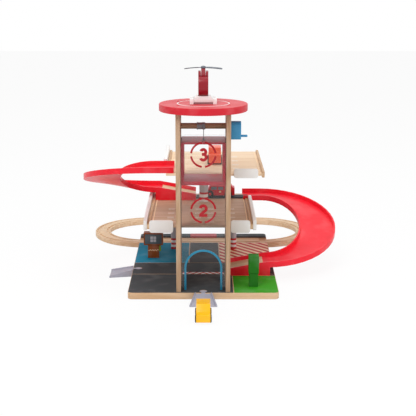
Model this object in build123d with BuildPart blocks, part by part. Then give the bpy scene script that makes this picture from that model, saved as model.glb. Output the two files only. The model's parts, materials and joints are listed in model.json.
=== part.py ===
from build123d import *
from math import cos, pi, radians, sin
import os

# Wooden toy parking garage with a crank-operated lift, two spiral ramps and a railway loop.
# Millimetres, +Z up. The origin is the middle of the base board's underside; -Y is the front.

os.makedirs("parts", exist_ok=True)

# Base board
base_width = 332.0
base_depth = 517.0
base_thick = 15.0
base_corner = 10.0
edge_round = 1.0

# Wooden railway track, 40 mm wide as on every set of its kind
track_width = 40.0
track_thick = 12.0
track_clear = 0.4
groove_width = 6.0
groove_depth = 3.0
groove_spacing = 25.0
track_edge = 1.0
peg_head_radius = 5.8
peg_neck_width = 6.0
peg_reach = 12.0
socket_clear = 0.4
loop_radius = 127.0
notch_length = 20.0
track_from_front = 460.0
straight_gap = 0.3
notch_spread = 5.0

# Station platform behind the track
platform_height = 4.0
platform_depth = 32.0

# Lift tower
tower_inner_width = 98.0
tower_board_thick = 10.0
tower_board_front = 4.0
tower_board_depth = 115.0
axle_below_pad = 34.0
helipad_radius = 96.0
helipad_thick = 15.0
tower_middle = tower_board_front + tower_board_depth / 2

# Clear front sheet with its arched doorway
sheet_thick = 2.0
sheet_groove = 3.0
sheet_clear = 0.15
sheet_from_front = 22.0
sheet_below_axle = 14.0
arch_inner_radius = 37.2
arch_trim_width = 4.8
arch_trim_depth = 5.0
arch_top = 92.0

# Winch
axle_radius = 6.35
axle_bore_clear = 0.05
cord_hang = 31.0
spool_radius = 8.25
spool_core_radius = 7.4
spool_width = 14.0
spool_flange = 1.6
cord_radius = 0.7
crank_gap = 0.3
crank_hub_radius = 10.5
crank_end_radius = 8.0
crank_arm_drop = 22.0
crank_arm_width = 22.7
crank_peg_radius = 2.6
crank_peg_length = 14.0
crank_edge = 0.8

# Lift cabin
cabin_clear = 0.5
cabin_wall = 6.5
cabin_floor = 8.0
cabin_roof = 4.3
cabin_height = 93.6
cabin_depth = 88.0
cabin_front = 27.0
cabin_corner = 1.5
hook_radius = 3.0
hook_height = 5.0

# Ramps: one moulding used twice
ramp_width = 88.0
ramp_wall = 4.0
ramp_floor = 3.0
ramp_side = 10.0
ramp_turn_radius = 133.0
ramp_drop = 119.7
ramp_start_length = 45.0
ramp_end_length = 93.0
ramp_end_rise = 19.5
ramp_tip_floor = 4.0
ramp_tip_side = 12.0
ramp_turn_steps = 24
ramp_foot_reach = 8.0
insert_thick = 2.0
insert_length = 86.0

# Decks
deck_thick = 5.0
deck_front = tower_board_front + tower_board_depth
deck_two_left = -120.5
deck_two_right = 105.5
deck_two_rear = 470.0
deck_three_left = -84.0
deck_three_right = 132.0
deck_three_rear = 415.0
rail_width = 7.5
rail_height = 12.0
rail_below = 4.0
wall_thick = 8.0
wall_height = 22.0
wall_below = 6.0
deck_three_rail_width = 6.0
deck_three_rail_height = 4.0

# Where the ramps stand
ramp_right_inset = 20.0
ramp_right_y = 310.0
ramp_left_x = -112.0
ramp_left_y = 300.0
seat_clear = 0.3

# Columns
column_radius = 7.5
column_x_left = -74.0
column_x_right = 76.0
column_from_front = 375.0
column_upper_radius = 11.0
column_upper_x = 1.0

# Blank sign plates
sign_thick = 3.0
sign_corner = 6.0
sign_two_height = 29.5
sign_two_rise = 2.7
sign_two_left_x = -95.4
sign_two_left_width = 54.3
sign_two_right_x = 84.6
sign_two_right_width = 44.1
sign_three_height = 21.5
sign_three_rise = 5.9
sign_three_x = 96.0
sign_three_width = 54.7

# Bridge plate on the middle deck
bridge_left = -18.0
bridge_right = 113.0
bridge_front = 408.0
bridge_depth = 35.0
bridge_thick = 3.0

# Entry ramps hooked to the base board
entry_length = 54.0
entry_top_width = 38.0
entry_foot_width = 60.0
entry_lip = 3.0
entry_lip_height = 3.0
entry_foot_floor = 1.5
entry_peg_thick = 9.0
entry_peg_inset = 13.0
entry_peg_radius = 8.2
entry_peg_neck = 8.0
entry_side_from_front = 195.0

# Petrol pump
pump_inset = 44.0
pump_from_front = 285.0
pump_width = 27.0
pump_depth = 20.0
pump_height = 33.0
pump_head_width = 47.0
pump_head_height = 30.0
pump_head_depth = 24.0
pump_screen_margin = 3.0
pump_screen_thick = 2.0

# Block tree
tree_inset = 54.0
tree_from_front = 54.0
trunk_size = 20.0
trunk_height = 30.8
crown_size = 23.0
crown_height = 40.6
block_edge = 1.2

# Helicopter
skid_spread = 58.0
skid_size = 4.0
skid_length = 46.0
heli_base_top = 17.0
heli_base_top_width = 32.0
heli_base_depth = 26.0
heli_body_width = 21.5
heli_body_top = 75.0
heli_body_depth = 44.0
heli_tail_length = 38.0
heli_tail_height = 12.0
heli_nose_round = 16.0
mast_width = 9.0
mast_height = 15.0
mast_ear = 5.5
rotor_length = 82.0
rotor_blade_width = 9.0
rotor_blade_thick = 2.0
rotor_hub_radius = 6.0
rotor_pin_radius = 1.6
rotor_pin_clear = 0.08
rotor_gap = 0.3

# Cars
wheel_radius = 8.5
wheel_width = 5.6
wheel_edge = 1.2
car_axle_radius = 2.0
car_axle_clear = 0.06
wheel_side_clear = 0.4
wheel_well_clear = 1.4
car_belly = 4.5
car_edge = 1.2

# Heights that follow
base_top = base_thick
deck_two_top = base_top + ramp_drop + ramp_floor
deck_three_top = deck_two_top + ramp_drop
cabin_under = deck_three_top - cabin_floor
cabin_top = cabin_under + cabin_height
axle_height = cabin_top + cord_hang
tower_height = axle_height + axle_below_pad - base_top
sheet_height = axle_height - sheet_below_axle - base_top
helipad_under = base_top + tower_height
helipad_top = helipad_under + helipad_thick
track_floor = base_top - track_thick
half_width = base_width / 2
tower_half = tower_inner_width / 2
tower_outer = tower_half + tower_board_thick

# Places tied to the board's sides
loop_centre_x = half_width - notch_length
pump_x = pump_inset - half_width
tree_x = half_width - tree_inset
ramp_right_x = half_width - ramp_right_inset


def back(distance):
    """Y of a line this far behind the base board's front edge."""
    return distance - base_depth / 2


def upright(x, y, angle):
    """A standing plane through (x, y): its local X points along angle, its local Y up."""
    turn = radians(angle)
    return Plane(origin=(x, y, 0), x_dir=(cos(turn), sin(turn), 0), z_dir=(sin(turn), -cos(turn), 0))


# Base board: routed channel for the track, end notches for the loop's first pieces,
# and keyhole recesses for the entry ramps' pegs
track_y = back(track_from_front)
socket_radius = peg_head_radius + socket_clear
socket_neck = peg_neck_width + 2 * socket_clear
entry_socket_neck = entry_peg_neck + 2 * socket_clear
channel_width = track_width + 2 * track_clear
notch_flare = channel_width + notch_spread
notch_y = track_y + notch_spread / 2

with BuildPart() as base_board:
    with BuildSketch():
        RectangleRounded(base_width, base_depth, base_corner)
    extrude(amount=base_thick)
    chamfer(base_board.edges().group_by(Axis.Z)[-1], edge_round)
    chamfer(base_board.edges().group_by(Axis.Z)[0], edge_round)
    with BuildSketch(Plane.XY.offset(track_floor)):
        with Locations((0, track_y)):
            Rectangle(base_width + 2, channel_width)
    extrude(amount=track_thick + 1, mode=Mode.SUBTRACT)
    for side in (-1, 1):
        with BuildSketch():
            with Locations((side * (half_width - notch_length / 2 + straight_gap), notch_y)):
                Rectangle(notch_length + 2 * straight_gap + 2, notch_flare)
        extrude(amount=base_thick, mode=Mode.SUBTRACT)
    with BuildSketch():
        with Locations((0, back(entry_peg_inset))):
            Circle(entry_peg_radius + socket_clear)
        with Locations((0, back(entry_peg_inset / 2 - 1))):
            Rectangle(entry_socket_neck, entry_peg_inset + 2)
        with Locations((-half_width + entry_peg_inset, back(entry_side_from_front))):
            Circle(entry_peg_radius + socket_clear)
        with Locations((-half_width + entry_peg_inset / 2 - 1, back(entry_side_from_front))):
            Rectangle(entry_peg_inset + 2, entry_socket_neck)
    extrude(amount=base_thick + 1, mode=Mode.SUBTRACT)

base_board.part.label = "base_board"
export_step(base_board.part, "parts/base_board.step")


# Railway: a straight in the base board's channel, a straight behind it and four quarter curves.
# Every piece but the rear straight ends in pegs that drop into its neighbour's sockets.
def track_profile(edge):
    """Track section, its middle at the local origin and its underside on the local X axis."""
    with BuildSketch(mode=Mode.PRIVATE) as section:
        with Locations((0, track_thick / 2)):
            Rectangle(track_width, track_thick)
        chamfer(section.vertices(), edge)
        with Locations(
            (-groove_spacing / 2, track_thick - groove_depth / 2),
            (groove_spacing / 2, track_thick - groove_depth / 2),
        ):
            Rectangle(groove_width, groove_depth, mode=Mode.SUBTRACT)
    return section.sketch


def peg_outline(head_radius, neck_width):
    """A round head on a neck, reaching along local +X from the local Y axis."""
    with BuildSketch(mode=Mode.PRIVATE) as outline:
        with Locations((peg_reach, 0)):
            Circle(head_radius)
        with Locations((peg_reach / 2 - 1, 0)):
            Rectangle(peg_reach + 2, neck_width)
    return outline.sketch


peg_shape = peg_outline(peg_head_radius, peg_neck_width)
socket_shape = peg_outline(socket_radius, socket_neck)
rear_track_y = track_y + 2 * loop_radius
track_end = loop_centre_x - straight_gap / 2

with BuildPart() as track_straight_front:
    front_plane = Plane(origin=(-track_end, track_y, track_floor), x_dir=(0, 1, 0), z_dir=(1, 0, 0))
    with BuildSketch(front_plane):
        add(track_profile(track_edge))
    extrude(amount=2 * track_end)
    for side, turn in ((-1, 180), (1, 0)):
        with BuildSketch(Plane.XY.offset(track_floor)):
            with Locations(Location((side * track_end, track_y, 0), (0, 0, turn))):
                add(peg_shape)
        extrude(amount=track_thick - track_floor)

track_straight_front.part.label = "track_straight_front"
export_step(track_straight_front.part, "parts/track_straight_front.step")

with BuildPart() as track_straight_rear:
    rear_plane = Plane(origin=(-track_end, rear_track_y, 0), x_dir=(0, 1, 0), z_dir=(1, 0, 0))
    with BuildSketch(rear_plane):
        add(track_profile(track_edge))
    extrude(amount=2 * track_end)
    for side, turn in ((-1, 0), (1, 180)):
        with BuildSketch():
            with Locations(Location((side * track_end, rear_track_y, 0), (0, 0, turn))):
                add(socket_shape)
        extrude(amount=track_thick, mode=Mode.SUBTRACT)

track_straight_rear.part.label = "track_straight_rear"
export_step(track_straight_rear.part, "parts/track_straight_rear.step")

loop_middle_y = track_y + loop_radius
quarter_gap = 0.2 / loop_radius * 180 / pi

for side, side_name in ((-1, "left"), (1, "right")):
    for start, end_name in ((-90, "front"), (0, "rear")):
        # Angles run from the front straight round the outside of the loop, mirrored on the left
        loop_x = side * loop_centre_x
        begin = start + quarter_gap / 2
        sweep_angle = 90 - quarter_gap
        plane_angle = begin if side > 0 else 180 - begin
        track_section_plane = upright(loop_x, loop_middle_y, plane_angle)
        with BuildPart() as track_curve:
            with BuildSketch(track_section_plane):
                with Locations((loop_radius, 0)):
                    add(track_profile(track_edge))
            revolve(
                axis=Axis((loop_x, loop_middle_y, 0), (0, 0, side)),
                revolution_arc=sweep_angle,
            )
            for angle, shape, mode in (
                (begin, socket_shape, Mode.SUBTRACT),
                (begin + sweep_angle, peg_shape, Mode.ADD),
            ):
                turned = radians(angle)
                end_x = loop_x + side * loop_radius * cos(turned)
                end_y = loop_middle_y + loop_radius * sin(turned)
                heading = angle + 90 if side > 0 else 90 - angle
                with BuildSketch():
                    with Locations(Location((end_x, end_y, 0), (0, 0, heading))):
                        add(shape)
                extrude(amount=track_thick, mode=mode)
        track_curve.part.label = f"track_curve_{side_name}_{end_name}"
        export_step(track_curve.part, f"parts/track_curve_{side_name}_{end_name}.step")


# Station platform: a low strip behind the track, rounded at its rear corners
platform_y = back(base_depth) - platform_depth / 2 - edge_round

with BuildPart() as station_platform:
    with BuildSketch(Plane.XY.offset(base_top)):
        with Locations((0, platform_y)):
            Rectangle(base_width - 2 * edge_round, platform_depth - 2 * edge_round)
    extrude(amount=platform_height)
    fillet(station_platform.edges().filter_by(Axis.Z).group_by(Axis.Y)[-1], base_corner)
    fillet(station_platform.edges().group_by(Axis.Z)[-1], edge_round)

station_platform.part.label = "station_platform"
export_step(station_platform.part, "parts/station_platform.step")

# Tower: two standing boards, bored for the winch axle and grooved for the clear sheet
axle_y = back(tower_middle)
sheet_y = back(sheet_from_front) + sheet_thick / 2

for side, side_name in ((-1, "left"), (1, "right")):
    with BuildPart() as tower_side:
        with BuildSketch(Plane.XY.offset(base_top)):
            with Locations((side * (tower_half + tower_board_thick / 2), axle_y)):
                Rectangle(tower_board_thick, tower_board_depth)
        extrude(amount=tower_height)
        fillet(tower_side.edges().filter_by(Axis.Z), edge_round)
        with BuildSketch(Plane.XY.offset(base_top)):
            with Locations((side * tower_half, sheet_y)):
                Rectangle(2 * sheet_groove, sheet_thick + 2 * sheet_clear)
        extrude(amount=tower_height, mode=Mode.SUBTRACT)
        with BuildSketch(Plane.YZ):
            with Locations((axle_y, axle_height)):
                Circle(axle_radius + axle_bore_clear)
        extrude(amount=side * (tower_outer + 1), mode=Mode.SUBTRACT)
    tower_side.part.label = f"tower_side_{side_name}"
    export_step(tower_side.part, f"parts/tower_side_{side_name}.step")

with BuildPart() as helipad_disc:
    with BuildSketch(Plane.XY.offset(helipad_under)):
        with Locations((0, axle_y)):
            Circle(helipad_radius)
    extrude(amount=helipad_thick)
    chamfer(helipad_disc.edges().filter_by(GeomType.CIRCLE), edge_round)

helipad_disc.part.label = "helipad_disc"
export_step(helipad_disc.part, "parts/helipad_disc.step")

# Clear sheet between the boards, with the arched doorway, and the arch's blue trim
sheet_plane = Plane(origin=(0, sheet_y + sheet_thick / 2, base_top), x_dir=(1, 0, 0), z_dir=(0, -1, 0))
arch_outer_radius = arch_inner_radius + arch_trim_width
arch_spring = arch_top - arch_outer_radius

with BuildPart() as front_sheet:
    with BuildSketch(sheet_plane):
        with Locations((0, sheet_height / 2)):
            Rectangle(tower_inner_width + 2 * (sheet_groove - sheet_clear), sheet_height)
        with Locations((0, arch_spring)):
            Circle(arch_outer_radius + sheet_clear, mode=Mode.SUBTRACT)
        with Locations((0, arch_spring / 2)):
            Rectangle(2 * (arch_outer_radius + sheet_clear), arch_spring, mode=Mode.SUBTRACT)
    extrude(amount=sheet_thick)

front_sheet.part.label = "front_sheet"
export_step(front_sheet.part, "parts/front_sheet.step")

trim_plane = sheet_plane.offset(-(arch_trim_depth - sheet_thick) / 2)

with BuildPart() as door_arch:
    with BuildSketch(trim_plane):
        with Locations((0, arch_spring)):
            Circle(arch_outer_radius)
        with Locations((0, arch_spring / 2)):
            Rectangle(2 * arch_outer_radius, arch_spring)
        with Locations((0, arch_spring)):
            Circle(arch_inner_radius, mode=Mode.SUBTRACT)
        with Locations((0, arch_spring / 2)):
            Rectangle(2 * arch_inner_radius, arch_spring, mode=Mode.SUBTRACT)
    extrude(amount=arch_trim_depth)

door_arch.part.label = "door_arch"
export_step(door_arch.part, "parts/door_arch.step")

# Winch: dowel axle through both boards, cord spool, crank arm and peg
axle_right_end = tower_outer + crank_gap + crank_arm_width
axle_plane = Plane(origin=(-tower_outer, axle_y, axle_height), x_dir=(0, 1, 0), z_dir=(1, 0, 0))

with BuildPart() as winch_axle:
    with BuildSketch(axle_plane):
        Circle(axle_radius)
    extrude(amount=tower_outer + axle_right_end - crank_hub_radius)

winch_axle.part.label = "winch_axle"
export_step(winch_axle.part, "parts/winch_axle.step")

spool_plane = Plane(origin=(-spool_width, axle_y, axle_height), x_dir=(0, 1, 0), z_dir=(1, 0, 0))

with BuildPart() as cord_spool:
    with BuildSketch(spool_plane):
        Circle(spool_core_radius)
    extrude(amount=spool_width)
    for flange_plane in (spool_plane, spool_plane.offset(spool_width - spool_flange)):
        with BuildSketch(flange_plane):
            Circle(spool_radius)
        extrude(amount=spool_flange)
    with BuildSketch(spool_plane):
        Circle(axle_radius)
    extrude(amount=spool_width, mode=Mode.SUBTRACT)

cord_spool.part.label = "cord_spool"
export_step(cord_spool.part, "parts/cord_spool.step")

crank_plane = Plane(
    origin=(tower_outer + crank_gap, axle_y, axle_height), x_dir=(0, 1, 0), z_dir=(1, 0, 0)
)
crank_socket_depth = crank_arm_width - crank_hub_radius

with BuildPart() as crank_arm:
    with BuildSketch(crank_plane):
        Circle(crank_hub_radius)
        with Locations((0, -crank_arm_drop)):
            Circle(crank_end_radius)
        make_hull()
    extrude(amount=crank_arm_width)
    chamfer(crank_arm.edges().group_by(Axis.X)[-1], crank_edge)
    chamfer(crank_arm.edges().group_by(Axis.X)[0], crank_edge)
    with BuildSketch(crank_plane):
        Circle(axle_radius)
    extrude(amount=crank_socket_depth, mode=Mode.SUBTRACT)

crank_arm.part.label = "crank_arm"
export_step(crank_arm.part, "parts/crank_arm.step")

with BuildPart() as crank_peg:
    with BuildSketch(crank_plane.offset(crank_arm_width)):
        with Locations((0, -crank_arm_drop)):
            Circle(crank_peg_radius)
    extrude(amount=crank_peg_length)
    chamfer(crank_peg.edges().group_by(Axis.X)[-1], crank_edge)

crank_peg.part.label = "crank_peg"
export_step(crank_peg.part, "parts/crank_peg.step")

# Lift cabin: open at the front and the back, hung on the cord
cabin_width = tower_inner_width - 2 * cabin_clear
cabin_opening_height = cabin_height - cabin_floor - cabin_roof
cabin_plane = Plane(origin=(0, back(cabin_front), cabin_under), x_dir=(-1, 0, 0), z_dir=(0, 1, 0))

with BuildPart() as lift_cabin:
    with BuildSketch(cabin_plane):
        with Locations((0, cabin_height / 2)):
            RectangleRounded(cabin_width, cabin_height, cabin_corner)
        with Locations((0, cabin_floor + cabin_opening_height / 2)):
            Rectangle(cabin_width - 2 * cabin_wall, cabin_opening_height, mode=Mode.SUBTRACT)
    extrude(amount=cabin_depth)

lift_cabin.part.label = "lift_cabin"
export_step(lift_cabin.part, "parts/lift_cabin.step")

hook_y = axle_y - axle_radius - cord_radius

with BuildPart() as lift_hook:
    with BuildSketch(Plane.XY.offset(cabin_top)):
        with Locations((cord_radius, hook_y)):
            Circle(hook_radius)
    extrude(amount=hook_height, taper=12)

lift_hook.part.label = "lift_hook"
export_step(lift_hook.part, "parts/lift_hook.step")

with BuildPart() as lift_cord:
    with BuildSketch(Plane.XY.offset(cabin_top + hook_height)):
        with Locations((cord_radius, hook_y)):
            Circle(cord_radius)
    extrude(amount=axle_height - cabin_top - hook_height)

lift_cord.part.label = "lift_cord"
export_step(lift_cord.part, "parts/lift_cord.step")


# Decks: plywood plates with side rails and outer walls
ramp_start_front = ramp_turn_radius - ramp_width / 2 - seat_clear
ramp_right_bay_y = back(ramp_right_y) + ramp_start_front
ramp_left_bay_y = back(ramp_left_y) - ramp_start_front
ramp_right_start_x = ramp_right_x - ramp_start_length
deck_two_under = deck_two_top - deck_thick
deck_three_under = deck_three_top - deck_thick
deck_two_rail_under = deck_two_under - rail_below
deck_two_rail_top = deck_two_rail_under + rail_height
deck_three_rail_top = deck_three_top + deck_three_rail_height


def slab(left, right, front_y, rear_y, under):
    """Sketch of an upright-edged slab's outline on the level plane at the given height."""
    with BuildSketch(Plane.XY.offset(under)) as outline:
        with Locations(((left + right) / 2, (front_y + rear_y) / 2)):
            Rectangle(right - left, rear_y - front_y)
    return outline.sketch


with BuildPart() as deck_two:
    plate = slab(deck_two_left, deck_two_right, back(deck_front), back(deck_two_rear), deck_two_under)
    extrude(plate, amount=deck_thick)
    ear_right = deck_two_right + rail_width
    ear = slab(deck_two_right - 1, ear_right, ramp_right_bay_y, back(deck_two_rear), deck_two_under)
    extrude(ear, amount=deck_thick)
    bay = slab(
        ramp_right_start_x - seat_clear,
        ear_right + 1,
        ramp_right_bay_y,
        back(deck_two_rear) + 1,
        deck_two_top - ramp_floor,
    )
    extrude(bay, amount=ramp_floor, mode=Mode.SUBTRACT)

deck_two.part.label = "deck_two"
export_step(deck_two.part, "parts/deck_two.step")

with BuildPart() as deck_three:
    plate = slab(
        deck_three_left, deck_three_right, back(deck_front), back(deck_three_rear), deck_three_under
    )
    extrude(plate, amount=deck_thick)

deck_three.part.label = "deck_three"
export_step(deck_three.part, "parts/deck_three.step")

for rail_name, rail_left, rail_right, rail_front, rail_rear, rail_under, rail_top in (
    ("rail_two_left", deck_two_left - rail_width, deck_two_left,
     back(deck_front), back(deck_two_rear), deck_two_rail_under, deck_two_rail_top),
    ("rail_two_right", deck_two_right, deck_two_right + rail_width,
     back(deck_front), ramp_right_bay_y, deck_two_rail_under, deck_two_rail_top),
    ("rail_three_left", deck_three_left, deck_three_left + deck_three_rail_width,
     ramp_left_bay_y, back(deck_three_rear), deck_three_top, deck_three_rail_top),
    ("rail_three_right", deck_three_right, deck_three_right + deck_three_rail_width,
     back(deck_front), back(deck_three_rear), deck_three_under - rail_below, deck_three_rail_top),
):
    with BuildPart() as side_rail:
        bar = slab(rail_left, rail_right, rail_front, rail_rear, rail_under)
        extrude(bar, amount=rail_top - rail_under)
        fillet(side_rail.edges().filter_by(Axis.Y), edge_round)
    side_rail.part.label = rail_name
    export_step(side_rail.part, f"parts/{rail_name}.step")

for wall_name, wall_left, wall_front, wall_rear, wall_under in (
    ("wall_two_left", deck_two_left - rail_width - wall_thick,
     back(deck_front), back(deck_two_rear), deck_two_under - wall_below),
    ("wall_two_right", deck_two_right + rail_width,
     back(deck_front), ramp_right_bay_y, deck_two_under - wall_below),
    ("wall_three_left", deck_three_left - wall_thick,
     ramp_left_bay_y, back(deck_three_rear), deck_three_under),
):
    with BuildPart() as side_wall:
        footing = slab(wall_left, wall_left + wall_thick, wall_front, wall_rear, wall_under)
        extrude(footing, amount=wall_height)
        fillet(side_wall.edges().filter_by(Axis.Y), edge_round)
    side_wall.part.label = wall_name
    export_step(side_wall.part, f"parts/{wall_name}.step")

# Columns under the decks
for column_name, column_x, shaft_radius, foot_z, head_z in (
    ("column_left", column_x_left, column_radius, base_top, deck_two_under),
    ("column_right", column_x_right, column_radius, base_top, deck_two_under),
    ("column_upper", column_upper_x, column_upper_radius, deck_two_top, deck_three_under),
):
    with BuildPart() as column:
        with BuildSketch(Plane.XY.offset(foot_z)):
            with Locations((column_x, back(column_from_front))):
                Circle(shaft_radius)
        extrude(amount=head_z - foot_z)
        chamfer(column.edges().filter_by(GeomType.CIRCLE), edge_round)
    column.part.label = column_name
    export_step(column.part, f"parts/{column_name}.step")

# Blank sign plates on the decks' front edges: middle and size of each, across and up
for sign_name, sign_x, sign_z, sign_width, sign_height in (
    ("sign_two_left", sign_two_left_x, deck_two_under + sign_two_rise,
     sign_two_left_width, sign_two_height),
    ("sign_two_right", sign_two_right_x, deck_two_under + sign_two_rise,
     sign_two_right_width, sign_two_height),
    ("sign_three_right", sign_three_x, deck_three_under + sign_three_rise,
     sign_three_width, sign_three_height),
):
    sign_plane = Plane(origin=(sign_x, back(deck_front), sign_z), x_dir=(1, 0, 0), z_dir=(0, -1, 0))
    with BuildPart() as sign:
        with BuildSketch(sign_plane):
            RectangleRounded(sign_width, sign_height, sign_corner)
        extrude(amount=sign_thick)
    sign.part.label = sign_name
    export_step(sign.part, f"parts/{sign_name}.step")

with BuildPart() as bridge_plate:
    bridge_rear = bridge_front + bridge_depth
    footing = slab(bridge_left, bridge_right, back(bridge_front), back(bridge_rear), deck_two_top)
    extrude(footing, amount=bridge_thick)
    fillet(bridge_plate.edges().group_by(Axis.Z)[-1], edge_round)

bridge_plate.part.label = "bridge_plate"
export_step(bridge_plate.part, "parts/bridge_plate.step")


# Ramps: a trough that leaves the deck level, falls round a half turn and runs out on a solid block.
# One moulding serves both levels, turned half round for the upper one.
def trough(plane, width, wall, under, floor_top, side_top):
    """Sketch of a trough's section; heights are absolute because the plane's origin is at Z = 0."""
    half = width / 2
    inner = half - wall
    with BuildSketch(plane) as section:
        with BuildLine():
            Polyline(
                (-half, under),
                (half, under),
                (half, side_top),
                (inner, side_top),
                (inner, floor_top),
                (-inner, floor_top),
                (-inner, side_top),
                (-half, side_top),
                close=True,
            )
        make_face()
    return section.sketch


def ramp_plane(ramp, along, across, heading):
    """Section plane at (along, across) from the ramp's middle, facing heading; +across starts it."""
    x, y, turned = ramp
    flip = -1 if turned else 1
    angle = radians(heading + (180 if turned else 0))
    return Plane(
        origin=(x + flip * along, y + flip * across, 0),
        x_dir=(-sin(angle), cos(angle), 0),
        z_dir=(cos(angle), sin(angle), 0),
    )


block_floor = ramp_end_rise + ramp_floor
block_slope = (block_floor - ramp_tip_floor) / ramp_end_length


def block_floor_at(along):
    """Height of the end block's floor above its seat, this far past the half turn."""
    return block_floor - block_slope * along


for ramp_name, insert_name, ramp, ramp_seat in (
    ("ramp_right", "ramp_right_insert", (ramp_right_x, back(ramp_right_y), False), base_top),
    ("ramp_left", "ramp_left_insert", (ramp_left_x, back(ramp_left_y), True), deck_two_top),
):
    ramp_start_under = ramp_seat + ramp_drop
    turn_end_under = ramp_seat + ramp_end_rise
    tip_floor = ramp_seat + block_floor_at(ramp_end_length)
    sections = []
    for step in range(-1, ramp_turn_steps + 1):
        share = max(step, 0) / ramp_turn_steps
        eased = (1 - cos(share * pi)) / 2
        under = ramp_start_under + eased * (turn_end_under - ramp_start_under)
        around = pi / 2 - share * pi
        along = ramp_turn_radius * cos(around) if step >= 0 else -ramp_start_length
        across = ramp_turn_radius * sin(around)
        plane = ramp_plane(ramp, along, across, -share * 180)
        floor_top = under + ramp_floor
        sections.append(trough(plane, ramp_width, ramp_wall, under, floor_top, floor_top + ramp_side))
    block_sections = []
    for along, floor_top, side_rise in (
        (ramp_foot_reach, ramp_seat + block_floor, ramp_side),
        (0, ramp_seat + block_floor, ramp_side),
        (-ramp_end_length, tip_floor, ramp_tip_side),
    ):
        plane = ramp_plane(ramp, along, -ramp_turn_radius, 180)
        side_top = floor_top + side_rise
        block_sections.append(trough(plane, ramp_width, ramp_wall, ramp_seat, floor_top, side_top))
    with BuildPart() as spiral:
        loft(sections, ruled=True)
        loft(block_sections, ruled=True)
    spiral.part.label = ramp_name
    export_step(spiral.part, f"parts/{ramp_name}.step")

    insert_half = ramp_width / 2 - ramp_wall - seat_clear
    with BuildPart() as ramp_insert:
        for along in (ramp_end_length - insert_length, ramp_end_length):
            floor_top = ramp_seat + block_floor_at(along)
            with BuildSketch(ramp_plane(ramp, -along, -ramp_turn_radius, 180)):
                with Locations((0, floor_top + insert_thick / 2)):
                    Rectangle(2 * insert_half, insert_thick)
        loft(ruled=True)
    ramp_insert.part.label = insert_name
    export_step(ramp_insert.part, f"parts/{insert_name}.step")

# Entry ramps: a flared wedge with side lips, hooked to the base board by a round-headed peg
entry_gap = 0.2

for entry_name, entry_x, entry_y, heading in (
    ("entry_ramp_front", 0, back(-entry_gap), -90),
    ("entry_ramp_side", -half_width - entry_gap, back(entry_side_from_front), 180),
):
    turn = radians(heading)
    out = (cos(turn), sin(turn))
    entry_sections = []
    for reach, width, floor_top in (
        (0, entry_top_width, base_top - entry_lip_height / 2),
        (entry_length, entry_foot_width, entry_foot_floor),
    ):
        section_plane = Plane(
            origin=(entry_x + reach * out[0], entry_y + reach * out[1], 0),
            x_dir=(-out[1], out[0], 0),
            z_dir=(out[0], out[1], 0),
        )
        lip_top = floor_top + entry_lip_height
        entry_sections.append(trough(section_plane, width, entry_lip, 0, floor_top, lip_top))
    with BuildPart() as entry_ramp:
        loft(entry_sections, ruled=True)
        with BuildSketch(Plane.XY.offset(base_top - entry_peg_thick)):
            with Locations(Location((entry_x, entry_y, 0), (0, 0, heading + 180))):
                with Locations((entry_peg_inset - entry_gap, 0)):
                    Circle(entry_peg_radius)
                with Locations(((entry_peg_inset - entry_gap) / 2 - 1, 0)):
                    Rectangle(entry_peg_inset - entry_gap + 2, entry_peg_neck)
        extrude(amount=entry_peg_thick)
    entry_ramp.part.label = entry_name
    export_step(entry_ramp.part, f"parts/{entry_name}.step")

# Petrol pump: a post, a framed head and its dark display
pump_y = back(pump_from_front) + pump_depth / 2
pump_head_under = base_top + pump_height

with BuildPart() as pump_body:
    with BuildSketch(Plane.XY.offset(base_top)):
        with Locations((pump_x, pump_y)):
            Rectangle(pump_width, pump_depth)
    extrude(amount=pump_height)
    fillet(pump_body.edges().filter_by(Axis.Z), block_edge)

pump_body.part.label = "pump_body"
export_step(pump_body.part, "parts/pump_body.step")

pump_head_front = pump_y - pump_head_depth / 2
pump_face = Plane(
    origin=(pump_x, pump_head_front, pump_head_under + pump_head_height / 2),
    x_dir=(1, 0, 0),
    z_dir=(0, -1, 0),
)

with BuildPart() as pump_head:
    with BuildSketch(Plane.XY.offset(pump_head_under)):
        with Locations((pump_x, pump_y)):
            Rectangle(pump_head_width, pump_head_depth)
    extrude(amount=pump_head_height)
    fillet(pump_head.edges().filter_by(Axis.Z), block_edge)
    with BuildSketch(pump_face):
        Rectangle(
            pump_head_width - 2 * pump_screen_margin + 2 * sheet_clear,
            pump_head_height - 2 * pump_screen_margin + 2 * sheet_clear,
        )
    extrude(amount=-pump_screen_thick, mode=Mode.SUBTRACT)

pump_head.part.label = "pump_head"
export_step(pump_head.part, "parts/pump_head.step")

with BuildPart() as pump_screen:
    with BuildSketch(pump_face.offset(-pump_screen_thick)):
        Rectangle(
            pump_head_width - 2 * pump_screen_margin,
            pump_head_height - 2 * pump_screen_margin,
        )
    extrude(amount=pump_screen_thick)

pump_screen.part.label = "pump_screen"
export_step(pump_screen.part, "parts/pump_screen.step")

# Block tree
for block_name, block_size, block_under, block_height in (
    ("tree_trunk", trunk_size, base_top, trunk_height),
    ("tree_crown", crown_size, base_top + trunk_height, crown_height),
):
    with BuildPart() as block:
        with BuildSketch(Plane.XY.offset(block_under)):
            with Locations((tree_x, back(tree_from_front))):
                Rectangle(block_size, block_size)
        extrude(amount=block_height)
        fillet(block.edges(), block_edge)
    block.part.label = block_name
    export_step(block.part, f"parts/{block_name}.step")

# Helicopter on the pad, nose to the front
heli_plane = Plane(origin=(0, axle_y, helipad_top), x_dir=(1, 0, 0), z_dir=(0, -1, 0))
heli_half_spread = skid_spread / 2

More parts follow.
